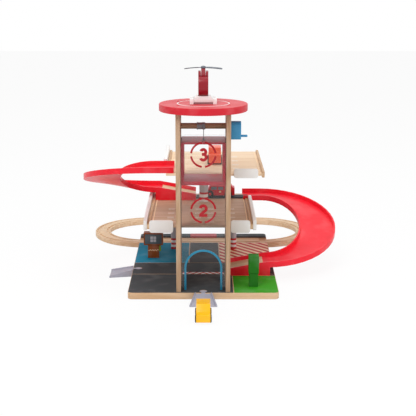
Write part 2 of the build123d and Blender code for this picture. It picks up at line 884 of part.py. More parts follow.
with BuildPart() as heli_base:
    with BuildSketch(heli_plane):
        with BuildLine():
            Polyline(
                (-heli_half_spread + skid_size, skid_size),
                (heli_half_spread - skid_size, skid_size),
                (heli_base_top_width / 2, heli_base_top),
                (-heli_base_top_width / 2, heli_base_top),
                close=True,
            )
        make_face()
    extrude(amount=heli_base_depth / 2, both=True)
    for side in (-1, 1):
        with BuildSketch(heli_plane):
            with Locations((side * (heli_half_spread - skid_size), skid_size * 1.5)):
                Rectangle(2 * skid_size, 3 * skid_size)
        extrude(amount=skid_length / 2, both=True)

heli_base.part.label = "heli_base"
export_step(heli_base.part, "parts/heli_base.step")

heli_side_plane = Plane(origin=(0, axle_y, helipad_top), x_dir=(0, -1, 0), z_dir=(-1, 0, 0))
heli_nose = heli_body_depth / 2
heli_roof = heli_body_top - mast_height

with BuildPart() as heli_body:
    with BuildSketch(heli_side_plane):
        with BuildLine():
            Polyline(
                (-heli_nose, heli_base_top),
                (heli_nose, heli_base_top),
                (heli_nose, heli_roof),
                (-heli_nose, heli_roof),
                (-heli_nose - heli_tail_length, heli_roof),
                (-heli_nose - heli_tail_length, heli_roof - heli_tail_height),
                (-heli_nose, heli_roof - heli_tail_height),
                close=True,
            )
        make_face()
    extrude(amount=heli_body_width / 2, both=True)
    fillet(
        heli_body.edges().filter_by(Axis.X).group_by(Axis.Y)[0],
        heli_nose_round,
    )
    with BuildSketch(Plane.XY.offset(helipad_top + heli_roof)):
        with Locations((0, axle_y)):
            Rectangle(mast_width, heli_nose)
        for side in (-1, 1):
            with Locations((side * (heli_body_width - mast_ear) / 2, axle_y)):
                Rectangle(mast_ear, heli_nose)
    extrude(amount=mast_height - mast_ear)
    with BuildSketch(Plane.XY.offset(helipad_top + heli_roof)):
        with Locations((0, axle_y)):
            Rectangle(mast_width, heli_nose)
    extrude(amount=mast_height)
    with BuildSketch(Plane.XY.offset(helipad_top + heli_body_top)):
        with Locations((0, axle_y)):
            Circle(rotor_pin_radius + rotor_pin_clear)
    extrude(amount=-mast_height, mode=Mode.SUBTRACT)

heli_body.part.label = "heli_body"
export_step(heli_body.part, "parts/heli_body.step")

rotor_under = helipad_top + heli_body_top + rotor_gap

with BuildPart() as heli_rotor:
    with BuildSketch(Plane.XY.offset(rotor_under)):
        with Locations((0, axle_y)):
            Circle(rotor_hub_radius)
    extrude(amount=2 * rotor_blade_thick)
    chamfer(heli_rotor.edges().group_by(Axis.Z)[-1], rotor_blade_thick)
    with BuildSketch(Plane.XY.offset(rotor_under + rotor_blade_thick / 2)):
        with Locations((0, axle_y)):
            SlotOverall(rotor_length, rotor_blade_width)
    extrude(amount=rotor_blade_thick)
    with BuildSketch(Plane.XY.offset(rotor_under)):
        with Locations((0, axle_y)):
            Circle(rotor_pin_radius)
    extrude(amount=-mast_height + 2 * rotor_gap)

heli_rotor.part.label = "heli_rotor"
export_step(heli_rotor.part, "parts/heli_rotor.step")

# Cars: a block body over two wheelsets that turn in its cross bores
car_half_width = 14.6
wheel_outer = 17.0
wheel_inner = wheel_outer - wheel_width
well_inner = wheel_inner - wheel_side_clear
yellow_car_ahead = 132.5
orange_car_x = 27.0
orange_car_from_front = 256.0
fire_truck_x = 40.0


def toy_car(name, place, heading, length, height, nose, tail, rake, wheelbase):
    """Body and wheelsets standing at place; nose and tail are (length, height) of the low ends."""
    x, y, ground = place
    turn = radians(heading)
    side_plane = Plane(
        origin=(x, y, ground), x_dir=(cos(turn), sin(turn), 0), z_dir=(sin(turn), -cos(turn), 0)
    )
    half = length / 2
    axle_places = ((-wheelbase / 2, wheel_radius), (wheelbase / 2, wheel_radius))
    with BuildPart() as body:
        with BuildSketch(side_plane):
            with BuildLine():
                Polyline(
                    (-half, car_belly),
                    (half, car_belly),
                    (half, nose[1]),
                    (half - nose[0], nose[1]),
                    (half - nose[0] - rake, height),
                    (-half + tail[0] + rake / 2, height),
                    (-half + tail[0], tail[1]),
                    (-half, tail[1]),
                    close=True,
                )
            outline = make_face()
            fillet(outline.vertices(), car_edge)
        extrude(amount=car_half_width, both=True)
        for side in (-1, 1):
            with BuildSketch(side_plane.offset(side * well_inner)):
                with Locations(*axle_places):
                    Circle(wheel_radius + wheel_well_clear)
            extrude(amount=side * wheel_width, mode=Mode.SUBTRACT)
        with BuildSketch(side_plane):
            with Locations(*axle_places):
                Circle(car_axle_radius + car_axle_clear)
        extrude(amount=car_half_width, both=True, mode=Mode.SUBTRACT)
    body.part.label = f"{name}_body"
    export_step(body.part, f"parts/{name}_body.step")

    for end_name, axle_place in zip(("rear", "front"), axle_places):
        with BuildPart() as wheelset:
            for side in (-1, 1):
                with BuildSketch(side_plane.offset(side * wheel_inner)):
                    with Locations(axle_place):
                        Circle(wheel_radius)
                extrude(amount=side * wheel_width)
            chamfer(wheelset.edges().filter_by(GeomType.CIRCLE), wheel_edge)
            with BuildSketch(side_plane):
                with Locations(axle_place):
                    Circle(car_axle_radius)
            extrude(amount=wheel_inner + 1, both=True)
        wheelset.part.label = f"{name}_{end_name}_wheels"
        export_step(wheelset.part, f"parts/{name}_{end_name}_wheels.step")


toy_car(
    "yellow_car", (0, back(-yellow_car_ahead), 0), -90,
    length=75.0, height=35.0, nose=(22.0, 20.0), tail=(4.0, 26.0), rake=8.0, wheelbase=44.0,
)
toy_car(
    "orange_car", (orange_car_x, back(orange_car_from_front), deck_three_top), -90,
    length=60.0, height=39.0, nose=(10.0, 24.0), tail=(3.0, 30.0), rake=5.0, wheelbase=34.0,
)
toy_car(
    "fire_truck", (fire_truck_x, back(bridge_front) + bridge_depth / 2, deck_two_top + bridge_thick), 180,
    length=79.0, height=30.0, nose=(8.0, 15.0), tail=(4.0, 24.0), rake=9.0, wheelbase=46.0,
)
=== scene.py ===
"""Toy parking garage with a crank lift: finishes, printed marks and small pieces over the fixed frame."""

import itertools
import json
import math

import bpy
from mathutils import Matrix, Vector

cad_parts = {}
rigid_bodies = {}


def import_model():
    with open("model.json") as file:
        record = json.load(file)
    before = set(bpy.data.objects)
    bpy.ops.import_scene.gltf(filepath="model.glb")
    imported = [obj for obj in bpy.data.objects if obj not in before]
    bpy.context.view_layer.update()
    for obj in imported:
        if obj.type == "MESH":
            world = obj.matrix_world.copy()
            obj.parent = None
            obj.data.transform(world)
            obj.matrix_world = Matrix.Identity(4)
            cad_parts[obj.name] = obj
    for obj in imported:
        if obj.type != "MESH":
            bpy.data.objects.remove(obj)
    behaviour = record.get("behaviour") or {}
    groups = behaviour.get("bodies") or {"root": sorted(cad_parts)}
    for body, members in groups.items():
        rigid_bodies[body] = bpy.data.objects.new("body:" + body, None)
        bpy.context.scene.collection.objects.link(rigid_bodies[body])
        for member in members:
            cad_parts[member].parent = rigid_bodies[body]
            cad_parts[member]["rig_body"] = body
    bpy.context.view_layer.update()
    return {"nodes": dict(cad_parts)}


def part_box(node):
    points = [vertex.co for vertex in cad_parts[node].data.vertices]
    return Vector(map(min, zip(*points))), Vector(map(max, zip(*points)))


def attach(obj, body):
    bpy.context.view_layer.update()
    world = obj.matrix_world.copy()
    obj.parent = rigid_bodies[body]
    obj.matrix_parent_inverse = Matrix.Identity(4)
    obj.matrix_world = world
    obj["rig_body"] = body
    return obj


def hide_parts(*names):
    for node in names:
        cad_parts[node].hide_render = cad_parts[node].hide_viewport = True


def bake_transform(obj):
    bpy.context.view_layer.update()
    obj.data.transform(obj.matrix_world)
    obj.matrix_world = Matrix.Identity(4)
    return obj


bl_info = {
    "name": "Toy Parking Garage",
    "version": (1, 0, 0),
    "blender": (4, 5, 0),
    "location": "View3D > Sidebar > Garage",
    "description": "Dresses a wooden toy parking garage with paint, prints and fittings",
    "category": "Add Mesh",
}

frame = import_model()

MM = 0.001
BODY = "frame"

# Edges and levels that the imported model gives
board_low, board_high = (Vector(corner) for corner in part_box("base_board"))
FRONT = board_low.y
BOARD_TOP = board_high.z
BOARD_SIDE = board_high.x / MM
DECK_TWO_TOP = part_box("deck_two")[1][2]
DECK_THREE_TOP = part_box("deck_three")[1][2]

# The photograph's view: the camera stands in front of the board's middle, at this Y and this height
CAMERA_FRONT = -2.4597
CAMERA_HEIGHT = 0.703
CAMERA_TILT = 0.2224
CAMERA_LENS = 91.0
CAMERA_SHIFT = 0.0113

# The stage: area lamps (name, place, aim, size, power), a floor and a soft sky
LAMPS = (
    ("key", (-0.9, -1.9, 2.3), (0.0, 0.0, 0.2), 1.4, 36.0),
    ("fill", (1.9, -1.4, 1.3), (0.0, 0.0, 0.2), 1.6, 14.0),
    ("top", (0.1, 0.5, 2.6), (0.0, 0.1, 0.1), 1.8, 22.0),
)
FLOOR_SIZE = 12.0
FLOOR_PLACE = (0.0, 1.0, -0.0004)
FLOOR_TONE = 0.93
FLOOR_GLOW = 0.92
SKY_STRENGTH = 0.5

# Edges sharper than the first angle, in degrees, are rounded; those flatter than the second are smooth
BEVEL_ANGLE = 40
SMOOTH_ANGLE = 35

# Thicknesses of prints; the overlapping strokes of a number differ by a step
PRINT_DEPTH = 0.24 * MM
STROKE_STEP = 0.04 * MM

# The entry ramps' pegs in the board, in millimetres
PEG_INSET = 13.0
PEG_HEAD = 8.7
PEG_NECK = 9.0
PEG_CUT_DEPTH = 4.0

# Board fields, in millimetres across and behind the front edge, with their rounded corners and the
# peg that they leave free: its place (across, behind the edge) and the way its neck runs
FIELD_CORNER = 9.0 * MM
FIELD_EDGE = BOARD_SIDE - 1.0
FRONT_PEG = (0.0, PEG_INSET, (0, -1))
SIDE_PEG = (PEG_INSET - BOARD_SIDE, 195.0, (-1, 0))
FIELDS = (
    ("forecourt", "asphalt paint", "dark_paint", (-FIELD_EDGE, 65.6), (1.0, 144.6), ((-1, -1),), FRONT_PEG),
    ("cross_road", "asphalt paint", "dark_paint", (-FIELD_EDGE, FIELD_EDGE), (147.0, 241.0), (), SIDE_PEG),
    ("pool", "blue paint", "green_paint", (-FIELD_EDGE, -36.0), (243.4, 433.0), (), None),
    ("lane", "grey paint", "dark_paint", (-33.6, 38.0), (243.4, 433.0), (), None),
    ("hatched", "hatching", "red_paint", (40.4, FIELD_EDGE), (243.4, 433.0), (), None),
    ("lawn", "lawn paint", "green_paint", (68.0, FIELD_EDGE), (1.0, 131.6), ((1, -1),), None),
    ("side_road", "asphalt paint", "dark_paint", (68.0, FIELD_EDGE), (134.0, 144.6), (), None),
)
STATION_MARK = (-34.0, 35.0)
STATION_TOP_INSET = 0.4
STATION_FRONT_INSET = 0.3 * MM
STOP_LINE = ((-48.0, 48.0), (146.6, 160.6))

# Prints on the decks: edge lines (name, across, from, to, level) and parking strokes
# (name, places across, places behind the front edge, level)
DECK_LINE_HALF = 1.2
DECK_LINES = (
    ("deck_two_line_left", -116.0, 122.0, 404.0, DECK_TWO_TOP),
    ("deck_two_line_right", 101.5, 122.0, 404.0, DECK_TWO_TOP),
    ("deck_three_line_left", -74.5, 222.0, 411.0, DECK_THREE_TOP),
    ("deck_three_line_right", 127.5, 122.0, 411.0, DECK_THREE_TOP),
)
PARKING_MARKS = (
    ("deck_two_marks", (-84.0, -20.0, 10.0, 60.0), (150.0, 192.0, 236.0, 282.0), DECK_TWO_TOP),
    ("deck_three_marks", (68.0,), (176.0, 224.0, 276.0, 330.0), DECK_THREE_TOP),
)
MARK_LENGTH = 15.0
MARK_WIDTH = 2.2
MARK_PAIR = (0.0, 9.0)

# The level numbers, in millimetres from their middle: bows (z, radius, start, sweep) and bars
LEVEL_THREE_PRINT = 0.3171
LEVEL_TWO_PRINT = 0.1945
THREE_BOWS = ((6.2, 5.3, -90, 250), (-5.3, 6.2, -160, 250))
THREE_BARS = (((-3.0, 0.9), (0.5, 0.9)),)
TWO_BOWS = ((4.4, 6.4, -50, 222),)
TWO_BARS = (((4.6, -0.1), (-6.4, -9.4)), ((-9.0, -10.8), (9.0, -10.8)))
RING_GAP = 14.5

# Winch, helipad and helicopter
CORD_STEPS = 40
WOUND_TURNS = 3
WINDING_SOFT = 0.45 * MM
PAD_RING_WIDTH = 2.4 * MM
SCREW_PLACES = ((-54, -32), (-54, 32), (54, -32), (54, 32))
SCREW_THICK = 1.2
SCREW_SLOT = (4.2, 1.0, 1.4)
ROTOR_STEPS = 24
ROTOR_DROOP = 3.0 * MM
ROTOR_TWIST = 0.16
ROTOR_HUB_RISE = 2.2 * MM
BLADE_HALF_WIDTH = 4.5 * MM
BLADE_HALF_THICK = 0.8 * MM
BLADE_CORNER = 4.2 * MM
HUB_RADIUS = 6.0 * MM
PIN_RADIUS = 1.6 * MM

# Filling pump: display squares, two nozzle blocks (from the body's side, the display's middle and
# the body's top) and the printed hose
DISPLAY_PITCH = 3.7
DISPLAY_HALF = (3.2, 0.3, 3.2)
NOZZLE_BLOCKS = (((0.0, 2.0, -16.0), (5.0, 10.0, -2.0)), ((1.5, -3.0, -6.0), (4.0, 3.0, -3.0)))
HOSE_WAVES = 8
HOSE_INSET = 1.5
HOSE_DROP = 13.0
HOSE_WIDTH = 0.9

# Vehicles: windows and badge from the fire truck's low end and its roof, and the hub caps
TRUCK_WINDOWS = ((19.0, 34.0), (37.0, 50.0))
WINDOW_HEIGHTS = (-11.0, -3.0)
WINDOW_PROUD = 0.2
BADGE_PLACE = (42.0, -16.0)
BADGE_RADIUS = 2.6
CAP_RADIUS = 3.4
CAP_THICK = 0.5

# Nodes shown sanded, by operator: names, finish, rounding in millimetres and, where not two, segments
SANDED = {
    "structure": (
        ("tower_side_left", "tower wood", 1.0),
        ("rail_two_left rail_three_left", "rail wood", 0.6),
        ("wall_two_left", "white paint", 0.8),
        ("tower_side_right", "tower wood", 1.0),
        ("rail_two_right rail_three_right", "rail wood", 0.6),
        ("wall_two_right wall_three_left", "white paint", 0.8),
        # The middle deck takes the painted-shade wood and the upper deck the painted-light wood
        ("deck_two", "deck wood", 0.5),
        ("deck_three", "upper deck wood", 0.5),
        ("base_board", "board wood", 0.5),
        ("bridge_plate", "asphalt paint", 0.5),
        ("station_platform", "asphalt paint", 0.4),
        ("sign_two_left sign_two_right sign_three_right", "white paint", 0.7, 3),
        ("tree_trunk tree_crown", "tree paint", 0.5),
    ),
    "ramps": (
        ("ramp_right", "ramp plastic", 1.1, 3),
        ("ramp_right_insert", "inlay wood", 0.4),
        ("ramp_left", "ramp plastic", 1.1, 3),
        ("ramp_left_insert", "inlay wood", 0.4),
        ("entry_ramp_front entry_ramp_side", "entry plastic", 0.6),
    ),
    "winch": (
        ("crank_arm", "crank plastic", 0.5),
        ("crank_peg", "crank plastic", 0.4),
        ("cord_spool", "spool plastic", 0.3),
    ),
    "lift": (("lift_cabin", "cabin plastic", 0.7, 3), ("lift_hook", "spool plastic", 0.3)),
    "helicopter": (("heli_base", "white paint", 0.8, 3), ("heli_body", "aircraft paint", 0.8, 3)),
    "pump": (
        ("pump_body pump_head", "pump paint", 0.5),
        ("pump_screen", "screen plastic", 0.4),
    ),
}
VEHICLES = (("yellow_car", "yellow paint"), ("orange_car", "orange paint"), ("fire_truck", "red paint"))


def linear(channel):
    """One sRGB channel from 0 to 255 as a linear value."""
    share = channel / 255
    return share / 12.92 if share <= 0.04045 else ((share + 0.055) / 1.055) ** 2.4


def paint(red, green, blue):
    """A paint colour written in sRGB, as the linear colour that a shader takes."""
    return (linear(red), linear(green), linear(blue))


def colour_field(label, words, *channels):
    return bpy.props.FloatVectorProperty(
        name=label, description=words, subtype="COLOR", size=3, min=0.0, max=1.0, default=paint(*channels)
    )


def length_field(label, words, default):
    return bpy.props.FloatProperty(
        name=label, description=words, unit="LENGTH", min=0.0, default=default * MM
    )


class GarageColours(bpy.types.PropertyGroup):
    """Colours of the garage's paints, plastics and woods."""

    ramp: colour_field("Ramp", "Moulded spiral ramps", 242, 24, 46)
    pad: colour_field("Helipad", "Painted helicopter pad", 206, 30, 46)
    cabin: colour_field("Cabin", "Lift cabin", 190, 40, 56)
    print_red: colour_field("Print", "Digits and rings on the clear sheet", 168, 8, 24)
    post: colour_field("Tower wood", "Tower boards", 190, 160, 132)
    # Deck and upper deck are one wood in two tones: the middle deck's darker tone is painted shade under
    # the upper deck, the upper deck's lighter tone is painted light from above
    deck: colour_field("Deck wood", "Middle deck plate", 208, 180, 156)
    upper_deck: colour_field("Upper deck wood", "Upper deck plate", 246, 220, 190)
    rail: colour_field("Rail wood", "Rails and board edge", 218, 186, 152)
    track: colour_field("Track wood", "Railway and run-out inlays", 230, 202, 170)
    asphalt: colour_field("Dark field", "Road fields on the board", 66, 70, 73)
    parking_grey: colour_field("Grey field", "Middle lane of the board", 76, 80, 84)
    pool_blue: colour_field("Blue field", "Filling station field", 0, 132, 166)
    lawn: colour_field("Green field", "Grass field", 58, 152, 34)
    tree: colour_field("Tree", "Block tree", 40, 112, 32)
    cream: colour_field("Cream", "Border lines and stripes", 250, 222, 186)
    stripe_red: colour_field("Stripe red", "Hatching and warning stripes", 198, 22, 26)
    white: colour_field("White", "Signs, walls and landing frame", 242, 240, 238)
    column: colour_field("Column", "Column shafts", 186, 184, 188)
    arch: colour_field("Arch", "Doorway arch", 38, 134, 168)
    crank: colour_field("Crank", "Crank arm and peg", 60, 148, 196)
    entry: colour_field("Entry ramp", "Hooked entry ramps", 170, 170, 184)
    spool: colour_field("Spool", "Cord spool and hook", 146, 148, 151)
    rotor: colour_field("Rotor", "Helicopter rotor", 92, 98, 108)
    pump: colour_field("Pump", "Filling pump", 136, 66, 16)
    screen: colour_field("Screen", "Pump display", 84, 94, 100)
    nozzle: colour_field("Nozzle", "Pump nozzle", 132, 150, 36)
    yellow: colour_field("Yellow car", "Yellow car's roof and body", 255, 190, 22)
    orange: colour_field("Orange car", "Orange car", 250, 98, 58)
    tyre: colour_field("Tyre", "Car wheels", 34, 33, 33)
    window: colour_field("Window", "Vehicle windows", 112, 124, 136)
    aircraft: colour_field("Helicopter", "Helicopter's body", 146, 22, 36)


class GarageSizes(bpy.types.PropertyGroup):
    """Sizes of the printed marks and small pieces."""

    paint_thick: length_field("Paint", "Height of a printed field above the wood", 0.25)
    digit_stroke: length_field("Digit", "Stroke width of the level numbers", 6.4)
    ring_radius: length_field("Ring", "Radius of the dashed ring round a number", 26.3)
    ring_line: length_field("Ring line", "Width of the dashed ring's line", 4.2)
    pad_ring: length_field("Pad ring", "Radius of the white ring on the helipad", 56.0)
    stripe_pitch: length_field("Stripe pitch", "Spacing of the hatching stripes", 19.0)
    cord: length_field("Cord", "Diameter of the lift cord", 1.4)
    screw_head: length_field("Screw head", "Diameter of the screw heads", 7.0)


def colours():
    return bpy.context.scene.garage_colours


def sizes():
    return bpy.context.scene.garage_sizes


# Shader node groups shared by the materials
def group_tree(name, outputs, **inputs):
    """A node group; an input's default tells its type, and of the outputs only Color isn't a number."""
    kinds = {type(None): "Vector", tuple: "Color", float: "Float"}
    group = bpy.data.node_groups.new(name, "ShaderNodeTree")
    for label, default in inputs.items():
        kind = "NodeSocket" + kinds[type(default)]
        socket = group.interface.new_socket(name=label, in_out="INPUT", socket_type=kind)
        if default is not None:
            socket.default_value = default
    for label in outputs:
        kind = "NodeSocketColor" if label == "Color" else "NodeSocketFloat"
        group.interface.new_socket(name=label, in_out="OUTPUT", socket_type=kind)
    return group, group.nodes.new("NodeGroupInput"), group.nodes.new("NodeGroupOutput")


def feed(tree, node, values):
    """Gives a node's inputs, by label or number, a socket to follow or a value to keep."""
    for key, value in values.items():
        socket = node.inputs[key]
        if isinstance(value, bpy.types.NodeSocket):
            tree.links.new(value, socket)
        elif socket.type == "RGBA":
            socket.default_value = (*value[:3], 1.0)
        else:
            socket.default_value = value


def maths(tree, operation, *values):
    node = tree.nodes.new("ShaderNodeMath")
    node.operation = operation
    feed(tree, node, dict(enumerate(values)))
    return node.outputs[0]


def blend_colours(tree, factor, first, second):
    node = tree.nodes.new("ShaderNodeMix")
    node.data_type = "RGBA"
    feed(tree, node, {0: factor, 6: first, 7: second})
    return node.outputs[2]


def noise(tree, vector, scale, detail=3.0, roughness=0.5, distortion=0.0):
    node = tree.nodes.new("ShaderNodeTexNoise")
    values = {"Scale": scale, "Detail": detail, "Roughness": roughness, "Distortion": distortion}
    feed(tree, node, {"Vector": vector, **values})
    return node.outputs["Fac"]


def ranged(tree, value, low, high, new_low=0.0, new_high=1.0):
    """A Map Range node from low..high to new_low..new_high, clamped."""
    node = tree.nodes.new("ShaderNodeMapRange")
    limits = {"From Min": low, "From Max": high, "To Min": new_low, "To Max": new_high}
    feed(tree, node, {"Value": value, **limits})
    return node.outputs["Result"]


def build_grain_group():
    """Long soft streaks, darker late wood and fine pores; the vector is stretched along the grain."""
    group, entry, leave = group_tree(
        "Wood Grain", ("Color", "Roughness", "Height"),
        Vector=None, Light=(0.7, 0.5, 0.3, 1.0), Dark=(0.5, 0.3, 0.2, 1.0),
    )
    vector = entry.outputs["Vector"]
    broad = noise(group, vector, 26.0, 3.0, 0.55, 0.8)
    streak = noise(group, vector, 210.0, 4.0, 0.62, 0.4)
    pores = noise(group, vector, 900.0, 2.0, 0.7)
    late_wood = maths(group, "SINE", maths(group, "MULTIPLY", broad, 46.0))
    late_wood = ranged(group, late_wood, -1.0, 1.0)
    late_share = maths(group, "MULTIPLY", late_wood, 0.42)
    mixed = maths(group, "ADD", late_share, maths(group, "MULTIPLY", streak, 0.58))
    share = ranged(group, mixed, 0.2, 0.78)
    base = blend_colours(group, share, entry.outputs["Dark"], entry.outputs["Light"])
    pore_mask = ranged(group, pores, 0.58, 0.72)
    toned = blend_colours(group, maths(group, "MULTIPLY", pore_mask, 0.3), base, entry.outputs["Dark"])
    rough = ranged(group, streak, 0.3, 0.7, 0.62, 0.46)
    height = maths(group, "SUBTRACT", streak, maths(group, "MULTIPLY", pore_mask, 0.6))
    feed(group, leave, {"Color": toned, "Roughness": rough, "Height": height})
    return group


def build_coat_group():
    """A sprayed or moulded coat: faint cloudy tone, a fine skin and a few scuffs."""
    group, entry, leave = group_tree(
        "Coat", ("Color", "Roughness", "Height"),
        Vector=None, Color=(0.5, 0.5, 0.5, 1.0), Cloud=0.08, Gloss=0.4,
    )
    vector = entry.outputs["Vector"]
    cloud = noise(group, vector, 22.0, 3.0, 0.5)
    skin = noise(group, vector, 1400.0, 2.0, 0.5)
    scuff = noise(group, vector, 130.0, 6.0, 0.75, 1.2)
    scuff_mask = ranged(group, scuff, 0.66, 0.74)
    shade = maths(group, "MULTIPLY", ranged(group, cloud, 0.3, 0.7, -1.0, 1.0), entry.outputs["Cloud"])
    darker = maths(group, "MAXIMUM", maths(group, "MULTIPLY", shade, -1.0), 0.0)
    lighter = maths(group, "MAXIMUM", shade, 0.0)
    toned = blend_colours(group, darker, entry.outputs["Color"], (0.0, 0.0, 0.0))
    toned = blend_colours(group, lighter, toned, (1.0, 1.0, 1.0))
    toned = blend_colours(group, maths(group, "MULTIPLY", scuff_mask, 0.05), toned, (1.0, 1.0, 1.0))
    rough = maths(group, "ADD", entry.outputs["Gloss"], maths(group, "MULTIPLY", scuff_mask, 0.12))
    rough = maths(group, "ADD", rough, ranged(group, skin, 0.3, 0.7, -0.03, 0.03))
    height = maths(group, "ADD", skin, maths(group, "MULTIPLY", scuff, 0.25))
    feed(group, leave, {"Color": toned, "Roughness": rough, "Height": height})
    return group


def build_stripes_group():
    """Hard stripes across X, with a softened printed edge."""
    group, entry, leave = group_tree("Stripes", ("Mask",), Vector=None, Pitch=0.02, Share=0.5)
    split = group.nodes.new("ShaderNodeSeparateXYZ")
    group.links.new(entry.outputs["Vector"], split.inputs[0])
    turns = maths(group, "DIVIDE", split.outputs["X"], entry.outputs["Pitch"])
    saw = maths(group, "FRACT", turns)
    centred = maths(group, "ABSOLUTE", maths(group, "SUBTRACT", saw, 0.5))
    half = maths(group, "MULTIPLY", entry.outputs["Share"], 0.5)
    inside = maths(group, "SUBTRACT", half, centred)
    feed(group, leave, {"Mask": ranged(group, inside, -0.015, 0.015)})
    return group


GROUPS = {}


# Materials
class Finish:
    """A material under construction: its tree, its shader and its object coordinates."""

    def __init__(self, name, **mapping):
        self.material = bpy.data.materials.new(name)
        self.material.use_nodes = True
        self.tree = self.material.node_tree
        self.shader = self.tree.nodes["Principled BSDF"]
        self.place = self.tree.nodes.new("ShaderNodeTexCoord").outputs["Object"]
        self.vector = self.mapped(**mapping)

    def mapped(self, stretch=(1.0, 1.0, 1.0), turn=(0.0, 0.0, 0.0), shift=(0.0, 0.0, 0.0), mirrored=False):
        """The object coordinates stretched, turned and moved, after mirroring about X = 0 where asked."""
        place = self.place
        if mirrored:
            mirror = self.tree.nodes.new("ShaderNodeVectorMath")
            mirror.operation = "ABSOLUTE"
            self.tree.links.new(place, mirror.inputs[0])
            place = mirror.outputs[0]
        mapping = self.tree.nodes.new("ShaderNodeMapping")
        placing = {"Scale": stretch, "Rotation": turn, "Location": shift}
        feed(self.tree, mapping, {"Vector": place, **placing})
        return mapping.outputs["Vector"]

    def use(self, name, builder, vector, **values):
        """Places a shared group, with colours, numbers or sockets for its inputs."""
        if name not in GROUPS:
            GROUPS[name] = builder()
        node = self.tree.nodes.new("ShaderNodeGroup")
        node.node_tree = GROUPS[name]
        feed(self.tree, node, {"Vector": vector, **values})
        return node.outputs

    def shade(self, **values):
        """Sets the shader's inputs; an underscore stands for a space in a label."""
        feed(self.tree, self.shader, {label.replace("_", " "): value for label, value in values.items()})

    def surface(self, made, strength, distance):
        """Gives the shader the colour, roughness and height that a group made."""
        bump = self.tree.nodes.new("ShaderNodeBump")
        feed(self.tree, bump, {"Strength": strength, "Distance": distance, "Height": made["Height"]})
        self.shade(Base_Color=made["Color"], Roughness=made["Roughness"], Normal=bump.outputs["Normal"])

    def coat(self, skin, **values):
        """Covers everything with the shared coat and a skin of this strength."""
        self.surface(self.use("coat", build_coat_group, self.vector, **values), skin, 0.0001)


def wood_finish(name, light, grain_axis, depth, shift=0.0):
    """Clear-lacquered wood with its grain along X, Y or Z."""
    stretch = [1.0, 1.0, 1.0]
    stretch["XYZ".index(grain_axis)] = 0.07
    finish = Finish(name, stretch=tuple(stretch), shift=(shift, shift * 0.7, shift * 0.3))
    dark = tuple(channel * share for channel, share in zip(light, (depth, depth * 0.88, depth * 0.74)))
    grain = finish.use("grain", build_grain_group, finish.vector, Light=light, Dark=dark)
    finish.surface(grain, 0.25, 0.0002)
    finish.shade(Specular_IOR_Level=0.35)
    return finish.material


def coat_finish(name, colour, gloss=0.42, cloud=0.06, skin=0.12, coat=0.0, shine=0.28):
    """Sprayed paint or moulded plastic in one colour."""
    finish = Finish(name)
    finish.coat(skin, Color=colour, Gloss=gloss, Cloud=cloud)
    finish.shade(Specular_IOR_Level=shine, Coat_Weight=coat, Coat_Roughness=0.2)
    return finish.material


def striped_finish(name, first, second, pitch, turn, mirrored=False):
    """Printed diagonal stripes in two colours; mirrored stripes meet in a chevron at X = 0."""
    finish = Finish(name)
    vector = finish.mapped(turn=(0.0, 0.0, turn), mirrored=mirrored)
    stripes = finish.use("stripes", build_stripes_group, vector, Pitch=pitch, Share=0.5)
    mixed = blend_colours(finish.tree, stripes["Mask"], first, second)
    finish.coat(0.1, Color=mixed, Gloss=0.45, Cloud=0.05)
    finish.shade(Specular_IOR_Level=0.1)
    return finish.material


def banded_finish(name, top, pitch, share):
    """A painted column: plain above top and banded below it, the highest band ending at top."""
    finish = Finish(name)
    phase = 0.5 * pitch - (top - share * pitch / 2)
    upright = finish.mapped(turn=(0.0, math.pi / 2, 0.0), shift=(phase, 0.0, 0.0))
    stripes = finish.use("stripes", build_stripes_group, upright, Pitch=pitch, Share=share)
    bands = blend_colours(finish.tree, stripes["Mask"], colours().white, colours().stripe_red)
    split = finish.tree.nodes.new("ShaderNodeSeparateXYZ")
    finish.tree.links.new(finish.place, split.inputs[0])
    above = ranged(finish.tree, split.outputs["Z"], top - 0.0002, top + 0.0002)
    mixed = blend_colours(finish.tree, above, bands, colours().column)
    finish.coat(0.1, Color=mixed, Gloss=0.4, Cloud=0.05)
    return finish.material


def clear_finish(name):
    """Clear sheet plastic with a faint waviness."""
    finish = Finish(name)
    ripple = noise(finish.tree, finish.vector, 18.0, 1.0)
    finish.shade(Base_Color=(0.97, 0.98, 0.99), Roughness=ranged(finish.tree, ripple, 0.3, 0.7, 0.0, 0.03))
    finish.shade(Transmission_Weight=1.0, IOR=1.33, Specular_IOR_Level=0.5)
    return finish.material


